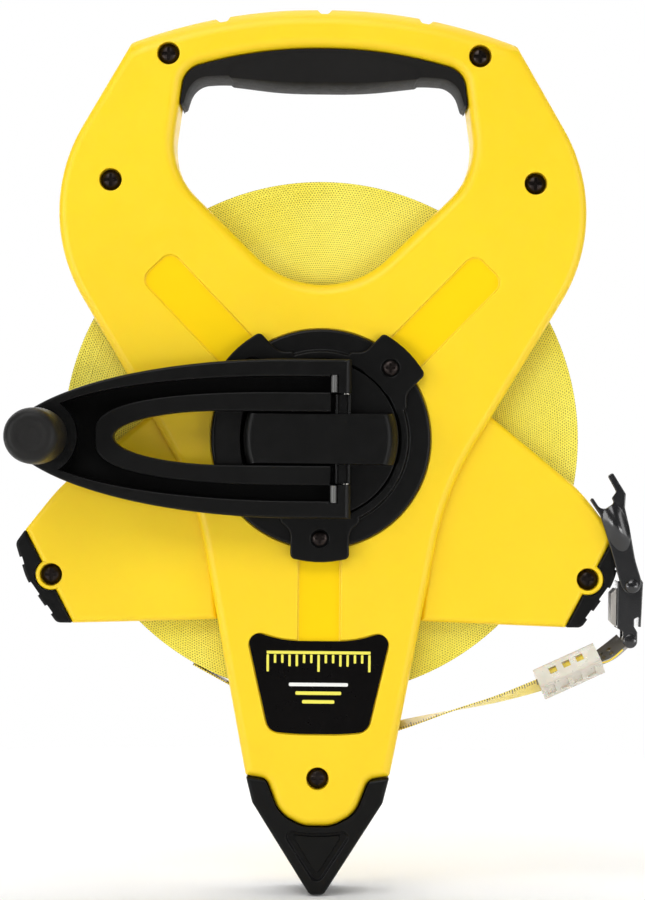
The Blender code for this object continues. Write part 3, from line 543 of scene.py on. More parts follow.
class Nodes:
    """A few short calls for building a material's node tree."""

    def __init__(self, name):
        self.material = bpy.data.materials.new(name)
        self.material.use_nodes = True
        self.tree = self.material.node_tree
        self.shader = self.tree.nodes["Principled BSDF"]

    def link(self, value, socket):
        if isinstance(value, bpy.types.NodeSocket):
            self.tree.links.new(value, socket)
        else:
            socket.default_value = value

    def add(self, kind, **settings):
        node = self.tree.nodes.new(kind)
        for key, value in settings.items():
            setattr(node, key, value)
        return node

    def place(self):
        """Object coordinates, which are the row frame's at rest."""
        return self.add("ShaderNodeTexCoord").outputs["Object"]

    def math(self, operation, first, second=0.0, third=0.0, clamp=False):
        node = self.add("ShaderNodeMath", operation=operation, use_clamp=clamp)
        for socket, value in zip(node.inputs, (first, second, third)):
            self.link(value, socket)
        return node.outputs[0]

    def length(self, first, second):
        """The length of a flat vector."""
        return self.math("SQRT", self.math("ADD", self.math("MULTIPLY", first, first),
                                           self.math("MULTIPLY", second, second)))

    def noise(self, scale, detail=4.0, rough=0.5, at=None):
        node = self.add("ShaderNodeTexNoise")
        self.link(at if at is not None else self.place(), node.inputs["Vector"])
        node.inputs["Scale"].default_value = scale
        node.inputs["Detail"].default_value = detail
        node.inputs["Roughness"].default_value = rough
        return node.outputs["Fac"]

    def ramp(self, value, low, high, start=0.0, end=1.0, smooth=False):
        node = self.add("ShaderNodeMapRange")
        if smooth:
            node.interpolation_type = "SMOOTHSTEP"
        for name, number in (("From Min", low), ("From Max", high), ("To Min", start), ("To Max", end)):
            node.inputs[name].default_value = number
        self.link(value, node.inputs["Value"])
        return node.outputs["Result"]

    def mix(self, share, first, second):
        node = self.add("ShaderNodeMix", data_type="RGBA")
        self.link(share, node.inputs["Factor"])
        self.link(first, node.inputs[6])
        self.link(second, node.inputs[7])
        return node.outputs[2]

    def bump(self, height, strength, distance, under=None):
        node = self.add("ShaderNodeBump")
        node.inputs["Strength"].default_value = strength
        node.inputs["Distance"].default_value = distance
        self.link(height, node.inputs["Height"])
        if under is not None:
            self.link(under, node.inputs["Normal"])
        return node.outputs["Normal"]

    def set(self, **values):
        """Shader inputs by name, with underscores for spaces."""
        for key, value in values.items():
            self.link(value, self.shader.inputs[key.replace("_", " ")])
        return self.material


def colour(red, green, blue):
    return (red, green, blue, 1.0)


def moulded(name, light, dark, rough, grain_scale, grain_strength, **more):
    """Moulded plastic or rubber: slow colour drift, fine spark-eroded grain and uneven gloss."""
    n = Nodes(name)
    drift = n.noise(18.0, 3.0)
    shade = n.mix(n.ramp(drift, 0.35, 0.65), light, dark)
    grain = n.noise(grain_scale, 2.0, 0.6)
    scuffs = n.noise(260.0, 5.0, 0.7)
    gloss = n.ramp(scuffs, 0.3, 0.75, rough - 0.05, rough + 0.08)
    waves = n.bump(n.noise(55.0, 1.0), 0.05, 0.002)
    return n.set(
        Base_Color=shade, Roughness=gloss, Normal=n.bump(grain, grain_strength, 0.0003, waves), **more
    )


def winding_material():
    """The edges of the wound blade: staggered rows of dark weave ends on bright coated yellow."""
    n = Nodes("wound_blade_edges")
    separate = n.add("ShaderNodeSeparateXYZ")
    n.link(n.place(), separate.inputs[0])
    across = n.math("SUBTRACT", separate.outputs["X"], HUB.x)
    up = n.math("SUBTRACT", separate.outputs["Z"], HUB.z)
    radius = n.length(across, up)
    angle = n.math("ARCTAN2", up, across)
    wander = n.math("MULTIPLY", n.math("SUBTRACT", n.noise(420.0, 2.0), 0.5), 1.1)
    rows = n.math("ADD", n.math("MULTIPLY", radius, 1 / (WEAVE_PITCH * MM)),
                  n.math("MULTIPLY", wander, 0.8))
    row = n.math("FLOOR", rows)
    stagger = n.math("MULTIPLY", n.math("MODULO", row, 2.0), 0.5)
    turns = n.math("ADD", n.math("MULTIPLY", angle, WEAVE_ENDS / (2 * math.pi)),
                   n.math("ADD", stagger, wander))
    offset_along = n.math("SUBTRACT", n.math("FRACT", turns), 0.5)
    offset_out = n.math("SUBTRACT", n.math("FRACT", rows), 0.5)
    spread = n.math("SQRT", n.math("ADD", n.math("POWER", n.math("MULTIPLY", offset_along, 1.45), 2.0),
                                   n.math("POWER", n.math("MULTIPLY", offset_out, 1.5), 2.0)))
    dot = n.ramp(spread, 0.2, 0.48, 1.0, 0.0, smooth=True)
    strength = n.ramp(n.noise(90.0, 3.0), 0.3, 0.7, 0.75, 1.0)
    base = n.mix(n.ramp(n.noise(30.0, 3.0), 0.35, 0.65), colour(0.93, 0.83, 0.11), colour(0.86, 0.74, 0.06))
    shade = n.mix(n.math("MULTIPLY", dot, strength), base, colour(0.24, 0.19, 0.012))
    turn_lines = n.math("FRACT", n.math("MULTIPLY", radius, 1 / (TURN_PITCH * MM)))
    height = n.math("SUBTRACT", n.math("MULTIPLY", turn_lines, 0.12), dot)
    return n.set(Base_Color=shade, Roughness=0.62, Normal=n.bump(height, 0.5, 0.0003))


def blade_material():
    """The blade's printed faces: coated weave with millimetre and centimetre marks along one edge."""
    n = Nodes("blade_print")
    separate = n.add("ShaderNodeSeparateXYZ")
    n.link(n.add("ShaderNodeUVMap").outputs["UV"], separate.inputs[0])
    along, across = separate.outputs["X"], separate.outputs["Y"]
    marks = 0.0
    for pitch, width, reach in ((1.0, 0.3, 2.6), (5.0, 0.34, 3.8), (10.0, 0.4, 5.2)):
        place_in = n.math("FRACT", n.math("MULTIPLY", along, 1 / pitch))
        line = n.math("LESS_THAN", place_in, width / pitch)
        near = n.math("LESS_THAN", across, reach)
        marks = n.math("MAXIMUM", n.math("MULTIPLY", line, near), marks)
    weave = n.math("MULTIPLY", n.math("SINE", n.math("MULTIPLY", along, 2 * math.pi / 0.7)),
                   n.math("SINE", n.math("MULTIPLY", across, 2 * math.pi / 0.7)))
    base = n.mix(n.ramp(n.noise(60.0, 3.0), 0.35, 0.65), colour(0.94, 0.76, 0.12), colour(0.87, 0.66, 0.07))
    shade = n.mix(marks, base, colour(0.03, 0.025, 0.02))
    return n.set(Base_Color=shade, Roughness=0.42, Normal=n.bump(weave, 0.2, 0.0001), Coat_Weight=0.15)


def metal_material(name, tint, rough, brushed):
    """Pressed sheet metal: brushed along one direction, with faint blotches."""
    n = Nodes(name)
    stretch = n.add("ShaderNodeMapping")
    n.link(n.place(), stretch.inputs["Vector"])
    stretch.inputs["Scale"].default_value = (40.0, 900.0, 40.0)
    lines = n.noise(brushed, 3.0, 0.6, stretch.outputs["Vector"])
    blotch = n.noise(140.0, 4.0)
    dull = tuple(0.7 * channel for channel in tint[:3]) + (1.0,)
    return n.set(
        Base_Color=n.mix(n.ramp(blotch, 0.3, 0.7), tint, dull), Metallic=1.0,
        Roughness=n.ramp(lines, 0.2, 0.8, rough - 0.08, rough + 0.12), Normal=n.bump(lines, 0.12, 0.0002),
    )


def milky_material():
    """Translucent milky plastic."""
    n = Nodes("milky_plastic_look")
    cloud = n.noise(210.0, 3.0)
    shade = n.mix(n.ramp(cloud, 0.3, 0.7), colour(0.86, 0.82, 0.72), colour(0.79, 0.74, 0.63))
    return n.set(Base_Color=shade, Roughness=n.ramp(cloud, 0.3, 0.7, 0.22, 0.4), Transmission_Weight=0.3,
                 Subsurface_Weight=0.25, Subsurface_Scale=0.003, Normal=n.bump(cloud, 0.1, 0.0004))


def floor_material():
    """Pale matt paper that fades out for the camera away from the object, over white surroundings."""
    n = Nodes("studio_floor")
    tone = n.ramp(n.noise(3.0, 2.0), 0.3, 0.7, 0.985, 1.0)
    separate = n.add("ShaderNodeSeparateXYZ")
    n.link(n.place(), separate.inputs[0])
    across, depth = separate.outputs["X"], separate.outputs["Y"]
    radius = n.length(across, depth)
    seen = n.add("ShaderNodeLightPath").outputs["Is Camera Ray"]
    away = n.math("MULTIPLY", n.ramp(radius, 0.3, 0.6, smooth=True), seen)
    return n.set(Base_Color=n.mix(tone, colour(0.9, 0.9, 0.9), colour(0.93, 0.93, 0.93)), Roughness=0.9,
                 Alpha=n.math("SUBTRACT", 1.0, away))


YELLOW = moulded("yellow_abs", colour(0.95, 0.66, 0.006), colour(0.93, 0.63, 0.004), 0.42, 2600.0, 0.06,
                 Subsurface_Weight=0.12, Subsurface_Radius=(1.0, 0.45, 0.08), Subsurface_Scale=0.003)
# Painted shade: a darker, more saturated and less shiny copy of the yellow, laid on the channel floors.
YELLOW_CHANNEL_SHADE = moulded("yellow_abs_painted_shade", colour(0.95, 0.64, 0.002), colour(0.93, 0.62, 0.002), 0.5,
                      2600.0, 0.03, Specular_IOR_Level=0.12)
BLACK = moulded("black_abs", colour(0.0023, 0.0023, 0.0022), colour(0.0018, 0.0018, 0.0017), 0.33,
                3800.0, 0.2, Specular_IOR_Level=0.19)
# Painted shade: a darker, duller copy of the black, laid on the crank arm's trough floor.
BLACK_TROUGH_SHADE = moulded("black_abs_painted_shade", colour(0.002, 0.002, 0.0019), colour(0.0015, 0.0015, 0.0015), 0.6,
                     3800.0, 0.3, Specular_IOR_Level=0.06)
# Painted highlight: the black plastic hinge barrels in a light grey, for their bright look.
BARREL_PAINTED_HIGHLIGHT = moulded("hinge_barrel_painted_highlight", colour(0.12, 0.12, 0.115), colour(0.08, 0.08, 0.078), 0.32, 2500.0, 0.1)
RUBBER = moulded("grip_rubber_look", colour(0.012, 0.0115, 0.011), colour(0.009, 0.0087, 0.0083), 0.6,
                 3000.0, 0.25, Specular_IOR_Level=0.1)
KNOB_RUBBER = moulded("knob_rubber", colour(0.011, 0.0105, 0.01), colour(0.008, 0.0077, 0.0075), 0.46,
                      2200.0, 0.2, Specular_IOR_Level=0.22)
NYLON = moulded("natural_nylon", colour(0.8, 0.78, 0.7), colour(0.72, 0.7, 0.62), 0.5, 2400.0, 0.1)
FELT = moulded("felt_washer", colour(0.13, 0.13, 0.12), colour(0.08, 0.08, 0.08), 0.9, 900.0, 0.8,
               Sheen_Weight=0.4)
LABEL = moulded("label_film", colour(0.0022, 0.0018, 0.0018), colour(0.0016, 0.0013, 0.0013), 0.3,
                1800.0, 0.05, Specular_IOR_Level=0.08)
INK_YELLOW = moulded("label_yellow_ink", colour(0.86, 0.8, 0.1), colour(0.8, 0.74, 0.08), 0.45, 2000.0, 0.05)
INK_WHITE = moulded("label_white_ink", colour(0.86, 0.86, 0.84), colour(0.78, 0.78, 0.76), 0.45, 2000.0, 0.05)
WOUND = winding_material()
BLADE = blade_material()
BLADE_PLAIN = moulded("blade_coating", colour(0.94, 0.72, 0.05), colour(0.88, 0.64, 0.03), 0.42, 1700.0, 0.2)
STEEL = metal_material("bright_steel", colour(0.5, 0.48, 0.45), 0.28, 1.0)
PLATE_GREY = metal_material("dull_plate", colour(0.55, 0.52, 0.48), 0.45, 1.0)
DARK_STEEL = metal_material("blacked_steel", colour(0.035, 0.028, 0.026), 0.34, 1.0)
HOOK_STEEL = moulded("hook_black_coat", colour(0.012, 0.012, 0.013), colour(0.008, 0.008, 0.009), 0.2,
                     1500.0, 0.015, Coat_Weight=0.6, Coat_Roughness=0.12)
MILKY = milky_material()


# ---------------------------------------------------------------- camera, light and floor


def camera():
    made = bpy.data.objects.new("camera", bpy.data.cameras.new("camera"))
    bpy.context.scene.collection.objects.link(made)
    made.data.lens = CAMERA_LENS
    made.data.clip_start = 0.05
    made.location = CAMERA_TARGET - Vector((0.0, CAMERA_DISTANCE, 0.0))
    made.rotation_euler = (math.pi / 2, -CAMERA_ROLL, 0.0)
    bpy.context.scene.camera = made


def area_light(name, location, target, size, power, tint=(1.0, 1.0, 1.0)):
    lamp = bpy.data.lights.new(name, "AREA")
    lamp.shape = "RECTANGLE"
    lamp.size, lamp.size_y = size
    lamp.energy = power
    lamp.color = tint
    made = bpy.data.objects.new(name, lamp)
    bpy.context.scene.collection.objects.link(made)
    made.location = location
    made.rotation_euler = (Vector(target) - Vector(location)).to_track_quat("-Z", "Y").to_euler()


def studio():
    """Surroundings white to the camera but dim as a light, a broad key, and fills at the sides and below."""
    world = bpy.data.worlds.new("studio")
    bpy.context.scene.world = world
    world.use_nodes = True
    sky = world.node_tree.nodes["Background"]
    sky.inputs["Color"].default_value = (1.0, 1.0, 1.0, 1.0)
    seen = world.node_tree.nodes.new("ShaderNodeLightPath").outputs["Is Camera Ray"]
    strength = world.node_tree.nodes.new("ShaderNodeMapRange")
    strength.inputs["To Min"].default_value = 0.11
    strength.inputs["To Max"].default_value = 1.0
    world.node_tree.links.new(seen, strength.inputs["Value"])
    world.node_tree.links.new(strength.outputs["Result"], sky.inputs["Strength"])
    middle = (0.0, 0.0, HUB.z)
    area_light("key", (-0.35, -1.25, 1.35), middle, (1.1, 0.8), 12.2)
    area_light("left_fill", (-1.35, -0.75, 0.3), middle, (0.5, 1.3), 8.4)
    area_light("right_fill", (1.35, -0.7, 0.35), middle, (0.5, 1.3), 6.2)
    area_light("low_left", (-0.75, -0.95, 0.06), (0.0, 0.0, 0.06), (0.5, 0.2), 2.6)
    area_light("low_right", (0.75, -0.95, 0.06), (0.0, 0.0, 0.06), (0.5, 0.2), 2.6)
    area_light("top", (0.0, 0.1, 1.5), middle, (1.0, 1.0), 6.4)
    area_light("back_wall", (0.0, 0.5, 1.1), (0.0, 1.6, 0.2), (2.4, 0.6), 17.0)
    bpy.context.scene.view_settings.view_transform = "Standard"


def floor():
    """A floor and a curved wall behind the object, which fades from the camera and only bounces light."""
    half, near, far, bend, height = 3.0, -3.0, 1.3, 0.7, 2.6
    line = [(near, 0.0), (far - bend, 0.0)]
    for angle in quarter(16)[1:]:
        line.append((far - bend + bend * math.sin(angle), bend - bend * math.cos(angle)))
    line.append((far, height))
    shape = bmesh.new()
    left, right = ([shape.verts.new((x, y, z - 0.0005)) for y, z in line] for x in (-half, half))
    for i in range(len(line) - 1):
        shape.faces.new((left[i], right[i], right[i + 1], left[i + 1]))
    mesh = bpy.data.meshes.new("floor")
    shape.to_mesh(mesh)
    shape.free()
    mesh.shade_smooth()
    mesh.materials.append(floor_material())
    new_object("floor", mesh)


# ---------------------------------------------------------------- the free blade


def smooth_stations(stations, steps):
    """Stations with points added on a smooth curve between them."""
    dense = []
    last = len(stations) - 1
    for i in range(last):
        four = [Vector(stations[max(i - 1, 0)]), Vector(stations[i]), Vector(stations[i + 1]),
                Vector(stations[min(i + 2, last)])]
        for k in range(steps):
            t = k / steps
            along = (four[2] - four[0]) / 2 * (t - 2 * t**2 + t**3) + (four[3] - four[1]) / 2 * (t**3 - t**2)
            dense.append(four[1] * (1 - 3 * t**2 + 2 * t**3) + four[2] * (3 * t**2 - 2 * t**3) + along)
    return dense + [Vector(stations[last])]


def strip_axes(stations, index):
    """The directions across the strip's width and through its thickness at a station."""
    across, depth, up, tilt = stations[index]
    before = stations[max(index - 1, 0)]
    after = stations[min(index + 1, len(stations) - 1)]
    along = Vector((after[0] - before[0], after[2] - before[2])).normalized()
    lean = math.radians(tilt)
    wide = Vector((-along.y * math.sin(lean), math.cos(lean), along.x * math.sin(lean)))
    thick = Vector((-along.y * math.cos(lean), -math.sin(lean), along.x * math.cos(lean)))
    return Vector((across, depth, up)), wide, thick


def strip_section(width, thickness, edge, steps=3):
    """A flat bar's section as (wide, thick) offsets, with its four edges rounded."""
    half_wide, half_thick = width / 2, thickness / 2
    corners = [(-half_wide, -half_thick, edge), (half_wide, -half_thick, edge),
               (half_wide, half_thick, edge), (-half_wide, half_thick, edge)]
    points = []
    for index, (x, y, r) in enumerate(corners):
        centre = Vector((x - math.copysign(r, x), y - math.copysign(r, y)))
        first = math.pi + 0.5 * math.pi * index
        for k in range(steps + 1):
            angle = first + 0.5 * math.pi * k / steps
            points.append(centre + r * Vector((math.cos(angle), math.sin(angle))))
    return points


def strip(name, stations, section):
    """A solid strip through stations, with UVs of (along, across) in millimetres."""
    shape = bmesh.new()
    layer = shape.loops.layers.uv.new("UVMap")
    rings, marks, distance = [], [], 0.0
    for index in range(len(stations)):
        middle, wide, thick = strip_axes(stations, index)
        if index:
            distance += (middle - Vector(stations[index - 1][:3])).length
        rings.append([shape.verts.new(place(*(middle + wide * s.x + thick * s.y))) for s in section])
        marks.append([(distance, s.x - min(p.x for p in section)) for s in section])
    for row in range(len(rings) - 1):
        for i in range(len(section)):
            spots = ((row, i - 1), (row, i), (row + 1, i), (row + 1, i - 1))
            face = shape.faces.new([rings[r][c] for r, c in spots])
            for loop, (r, c) in zip(face.loops, spots):
                loop[layer].uv = marks[r][c]
    shape.faces.new(rings[0])
    shape.faces.new(rings[-1])
    return from_bmesh(name, shape)


def blade_route():
    off = WINDING_RADIUS + 0.4 + TAPE_THICKNESS / 2
    leave = (off * math.cos(TAPE_LEAVES), 0.0, off * math.sin(TAPE_LEAVES), 0.0)
    return smooth_stations((leave, *BLADE_STATIONS), 8)


def sleeve_piece():
    """The milky sleeve, with its windows and the folded blade that shows through them."""
    sleeve = strip("sleeve", (SLEEVE_FROM, SLEEVE_TO), strip_section(SLEEVE_WIDTH, SLEEVE_THICKNESS, 0.9))
    middle = (Vector(SLEEVE_FROM) + Vector(SLEEVE_TO)) / 2
    reach = (Vector(SLEEVE_TO) - Vector(SLEEVE_FROM)) * 0.7
    reach.w = 0.0
    tools = [strip("sleeve way", (middle - reach, middle + reach), strip_section(TAPE_WIDTH + 0.6, 1.1, 0.3))]
    for share in (0.28, 0.5, 0.72):
        tools.append(sleeve_window(f"window {share}", share, (-9.0, -5.6), (-0.6, 1.9), 1.45))
    for share in (0.14, 0.36, 0.58, 0.8):
        tools.append(sleeve_window(f"patch {share}", share, (-5.4, 3.6), (-6.0, -3.3), 1.7))
    cut(sleeve, *tools)
    finish_piece(sleeve, "case", ["end_sleeve"], "milky_plastic", MILKY, angle=28)
    pad = sleeve_window("blade_fold", 0.5, (-5.9, -5.0), (-0.45, 1.75), 8.4)
    finish_piece(pad, "case", [], "blade", BLADE_PLAIN)
    return sleeve, pad


def bracket_piece():
    """The slotted link between the sleeve and the hook, with the loop of blade under it."""
    bracket = strip("bracket", smooth_stations(BRACKET_STATIONS, 5), strip_section(10.0, 1.4, 0.5))
    join(bracket, rod("bracket eye", 2.4, HOOK_MIDDLE - 3.4, HOOK_MIDDLE + 3.4, HOOK_PIVOT, 32))
    cut(bracket, rod("bracket bore", 1.45, -30, 30, HOOK_PIVOT, 24), *bracket_slots())
    finish_piece(bracket, "case", ["end_bracket"], "steel", PLATE_GREY)
    loop_end = strip("blade_loop", smooth_stations(LOOP_STATIONS, 6), strip_section(9.4, 0.6, 0.25))
    finish_piece(loop_end, "case", [], "blade", BLADE_PLAIN, angle=50)
    return bracket, loop_end


def blade_end():
    """The blade from the winding to its sleeve, with the sleeve, the bracket and the doubled end."""
    route = blade_route()
    blade = strip("blade", route, strip_section(TAPE_WIDTH, TAPE_THICKNESS, 0.2))
    finish_piece(blade, "case", ["blade_run"], "blade", BLADE, angle=50)
    return blade, route, (*sleeve_piece(), *bracket_piece())


def sleeve_window(name, share, wide_range, thick_range, half):
    """A box in the sleeve's own directions, centred along it at that share of its length."""
    ends = (Vector(SLEEVE_FROM), Vector(SLEEVE_TO))
    _, wide, thick = strip_axes(ends, 0)
    centre = ends[0].lerp(ends[1], share).to_3d()
    along = (ends[1] - ends[0]).to_3d().normalized()
    shape = bmesh.new()
    bmesh.ops.create_cube(shape, size=1.0)
    for vert in shape.verts:
        w = wide_range[0] if vert.co.x < 0 else wide_range[1]
        t = thick_range[0] if vert.co.y < 0 else thick_range[1]
        spot = centre + along * half * math.copysign(1.0, vert.co.z) + wide * w + thick * t
        vert.co = place(*spot)
    return from_bmesh(name, shape)


def bracket_slots():
    """Two rows of small slots through the bracket's sheet."""
    tools = []
    stations = smooth_stations(BRACKET_STATIONS, 5)
    for index in (2, 5):
        middle, wide, thick = strip_axes(stations, index)
        for row in (-2.4, 0.6):
            shape = bmesh.new()
            bmesh.ops.create_cone(
                shape, cap_ends=True, segments=4, radius1=SLOT_HALF, radius2=SLOT_HALF, depth=0.008
            )
            turn = Vector((0, 0, 1)).rotation_difference(thick).to_matrix().to_4x4()
            turn.translation = place(*(middle + wide * row))
            bmesh.ops.transform(shape, matrix=turn, verts=shape.verts)
            tools.append(from_bmesh(f"slot {index} {row}", shape))
    return tools


# ---------------------------------------------------------------- the case


def channel(name, degrees, side):
    """A shallow groove in the frame's face running out from the hub."""
    reach = 89.5 if degrees < 200 else 80.0
    corners = ((25, -CHANNEL_HALF, 0.5), (reach, -CHANNEL_HALF, 4.5), (reach, CHANNEL_HALF, 4.5),
               (25, CHANNEL_HALF, 0.5))
    return soft_cutter(name, turned_corners(corners, degrees), FRAME_HALF, CHANNEL_DEPTH, side, 0.6, 2)


def mouth(name, corners, face, side, flare):
    """A cutter right through a shell, its rim rounded where it meets the face."""
    sections = [(-side * 5, rounded(corners))]
    for angle in quarter(7):
        depth = face - flare * (1 - math.sin(angle))
        sections.append((side * depth, rounded(corners, -flare * (1 - math.cos(angle)))))
    sections.append((side * (face + 1), rounded(corners, -flare - 1)))
    return loft(name, sections)


def well(name, across, up, face, depth, radius):
    """A cutter for a round well with a softened mouth, in the crank-side face at that half thickness."""
    profile = [
        (0, -face - 1.5), (radius + 1.5, -face - 1.5), (radius + 0.55, -face), (radius + 0.2, -face + 0.18),
        (radius, -face + 0.6), (radius, -face + depth), (0, -face + depth),
    ]
    return turned(name, profile, (across, up), 40)


def hollow(name, outline, holes, posts, plate, wall, side):
    """The space inside a shell: an inset outline less the walls of its holes and its screw posts."""
    space = prism(name, rounded(outline, wall), side * (plate - wall), -side)
    walls = [prism(f"{name} hole {i}", rounded(hole, -wall), side * (plate + 3), -side * 3)
             for i, hole in enumerate(holes)]
    walls += [rod(f"{name} post {i}", radius, side * (plate + 3), -side * 3, (across, up), 36)
              for i, (across, up, radius) in enumerate(posts)]
    return cut(space, *walls)


def case_body(name, side, wings):
    """The outside of a shell: the frame, trimmed at its brow, with its wings and screw eyes."""
    body = soft_plate(name, mirrored(FRAME_RIGHT), side * FRAME_HALF, side * SEAM, FRAME_ROUND, steps=7)
    brow = soft_plate(f"{name} brow", mirrored(BROW_RIGHT), side * FRAME_HALF, -side * 3, BROW_ROUND, steps=8)
    combine(body, "INTERSECT", brow)
    face, seam = side * WING_HALF, side * SEAM
    extra = []
    for s, outline in wings.items():
        eye = disc_corners(5.8, (s * WING_SCREW[0], WING_SCREW[1]))
        extra.append(soft_plate(f"{name} wing {s}", outline, face, seam, WING_ROUND, steps=6))
        extra.append(soft_plate(f"{name} eye {s}", eye, face, seam, 1.0, steps=4))
    return join(body, *extra)


def case_posts(side):
    """The solid posts inside a shell, as (across, up, radius)."""
    posts = [(across, up, 6.2) for _, across, up, face in CASE_SCREWS if face == FRAME_HALF]
    posts.append((*ROLLER, 4.2))
    posts.append((0.0, 0.0, 34.2 if side < 0 else 10.0))
    if side < 0:
        posts += [(*polar(LOBE_SCREW_RADIUS, angle), 4.0) for angle in LOBE_ANGLES]
    return posts


def case_rooms(name, side, wings):
    """Cutters for the space inside a shell."""
    outline = mirrored(FRAME_RIGHT)
    window = mirrored(WINDOW_RIGHT)
    rooms = [hollow(f"{name} room", outline, [window], case_posts(side), FRAME_HALF, WALL + 0.8, side)]
    for s, wing in wings.items():
        post = (s * WING_SCREW[0], WING_SCREW[1], 5.9)
        room = hollow(f"{name} wing room {s}", wing, [], [post], WING_HALF, WALL, side)
        rooms.append(cut(room, prism(f"{name} keep {s}", rounded(outline), side * BEYOND, -side * 5)))
    return rooms


def case_details(name, side):
    """Cutters for a shell's grooves, label recess, thumb notches and seats."""
    details = [channel(f"{name} channel {degrees}", degrees, side) for degrees in LOBE_ANGLES]
    sunk = [(x, z, r + 0.4) for x, z, r in mirrored(LABEL_RIGHT)]
    details.append(soft_cutter(f"{name} label", sunk, FRAME_HALF, LABEL_DEPTH, side, 0.5, 2, grow=0.4))
    details += [notch(f"{name} notch {across}", across, level) for across, level in NOTCHES]
    low, high = side * (FRAME_HALF - 1.3), side * (FRAME_HALF + 2)
    details.append(rod(f"{name} cover seat", COVER_SEAT, low, high, sides=128))
    details.append(rod(f"{name} roller seat", 2.0, side * (FRAME_HALF - 3), -side * 5, ROLLER, 20))
    return details


def case_bores(name, side):
    """Cutters for a shell's round holes: screws, and the hub in front or the axle behind."""
    bores = []
    for node_name, across, up, face in CASE_SCREWS:
        if side < 0:
            bores.append(well(f"{name} {node_name} well", across, up, face, 4.5, 4.15))
            bores.append(rod(f"{name} {node_name} bore", 2.0, -face - 3, 5, (across, up), 16))
        else:
            bores.append(rod(f"{name} {node_name} pilot", 1.9, -5, face - 3.5, (across, up), 16))
    if side > 0:
        return bores + [rod(f"{name} axle bore", AXLE_BORE, -5, 30)]
    bores.append(rod(f"{name} hub bore", HUB_BORE, -FRAME_HALF - 2, -14.8, sides=96))
    bores.append(rod(f"{name} gear seat", GEAR_SEAT, -16, -9.9, sides=90))
    bores.append(rod(f"{name} gear lip", GEAR_LIP, -17, -5, sides=84))
    for degrees in LOBE_ANGLES:
        at = polar(LOBE_SCREW_RADIUS, degrees)
        bores.append(rod(f"{name} cover pilot {degrees}", 1.6, -30, -9.5, at, 12))
    return bores


def shell(name, node, side):
    """One half of the case: side is -1 for the crank side and +1 for the rear."""
    wings = {s: one_side(WING_RIGHT, s) for s in (-1, 1)}
    body = case_body(name, side, wings)
    cut(body, *case_rooms(name, side, wings))
    cut(
        body, mouth(f"{name} window", mirrored(WINDOW_RIGHT), FRAME_HALF, side, WINDOW_ROUND),
        rod(f"{name} winding room", WINDING_ROOM, side * SIDE_ROOM, -side * 5, sides=192),
        block(f"{name} leg slot", (-60, side * SIDE_ROOM, -160), (60, -side * 5, -84)),
    )
    cut(body, *case_details(name, side))
    for bore in case_bores(name, side):
        cut(body, bore)
    finish_piece(body, "case", [node], "yellow_plastic", YELLOW, YELLOW_CHANNEL_SHADE, angle=30)
    # The channel floors take the second, darker yellow: painted shade in the grooves.
    for face in body.data.polygons:
        above = abs(face.center.y) / MM - FRAME_HALF + CHANNEL_DEPTH
        face.material_index = int(abs(above) < 0.02 and abs(face.normal.y) > 0.99)


def disc_corners(radius, centre):
    """Four corners whose rounding makes a full circle."""
    across, up = centre
    spots = ((-1, -1), (1, -1), (1, 1), (-1, 1))
    return [(across + radius * x, up + radius * z, radius) for x, z in spots]


def notch(name, across, level):
    """A thumb notch across the top of the handle, with sloping sides, square to the handle's arc."""
    lean = -math.copysign(max(0.0, abs(across) - TOP_FLAT) / TOP_ARC, across)
    along = Vector((math.cos(lean), math.sin(lean)))
    up = Vector((-along.y, along.x))
    floor_middle = Vector((across, level))
    spots = ((-1.7, 0.35), (-1.1, 0.0), (1.1, 0.0), (1.7, 0.35),
             (3.2, 2.4), (4.4, 5.0), (-4.4, 5.0), (-3.2, 2.4))
    return prism(name, [floor_middle + along * x + up * y for x, y in spots], -30, 30)


def edge_distance(point, outline):
    """How far a point is from the nearest side of an outline."""
    nearest = math.inf
    for first, second in zip(outline, outline[1:] + outline[:1]):
        side = second - first
        share = max(0.0, min(1.0, (point - first).dot(side) / max(side.length_squared, 1e-9)))
        nearest = min(nearest, (point - first - side * share).length)
    return nearest


def padded_section(name, corners, half, swell):
    """A slab whose lower side curves up towards both faces, like a moulded finger rest."""
    steps = 14
    window = rounded(mirrored(WINDOW_RIGHT))
    outline = rounded(corners)
    free = [min(1.0, max(0.0, (edge_distance(p, window) - 1.0) / 1.6)) for p in outline]
    away = [(p - Vector((0.0, 96.0))).normalized() for p in outline]
    narrow = [1 - 0.55 * min(1.0, abs(p.x) / 50.0) ** 2 for p in outline]
    sections = []
    for k in range(steps + 1):
        depth = half * math.sin(math.pi * (k / steps - 0.5))
        crown = swell * (1 - math.sqrt(max(0.0, 1 - (0.97 * depth / half) ** 2)))
        rise = crown + GRIP_LIFT
        sections.append((depth, [p + d * rise * f * n for p, d, f, n in zip(outline, away, free, narrow)]))
    return loft(name, sections)


def grip():
    """The soft lining of the handle opening, with a raised lens-shaped palm pad."""
    body = padded_section("grip", mirrored(GRIP_RIGHT), 15.4, 3.4)
    pad = padded_section("grip pad", GRIP_PAD, 15.75, 3.2)
    join(body, pad)
    finish_piece(body, "case", ["grip_insert"], "grip_rubber", RUBBER, angle=24)


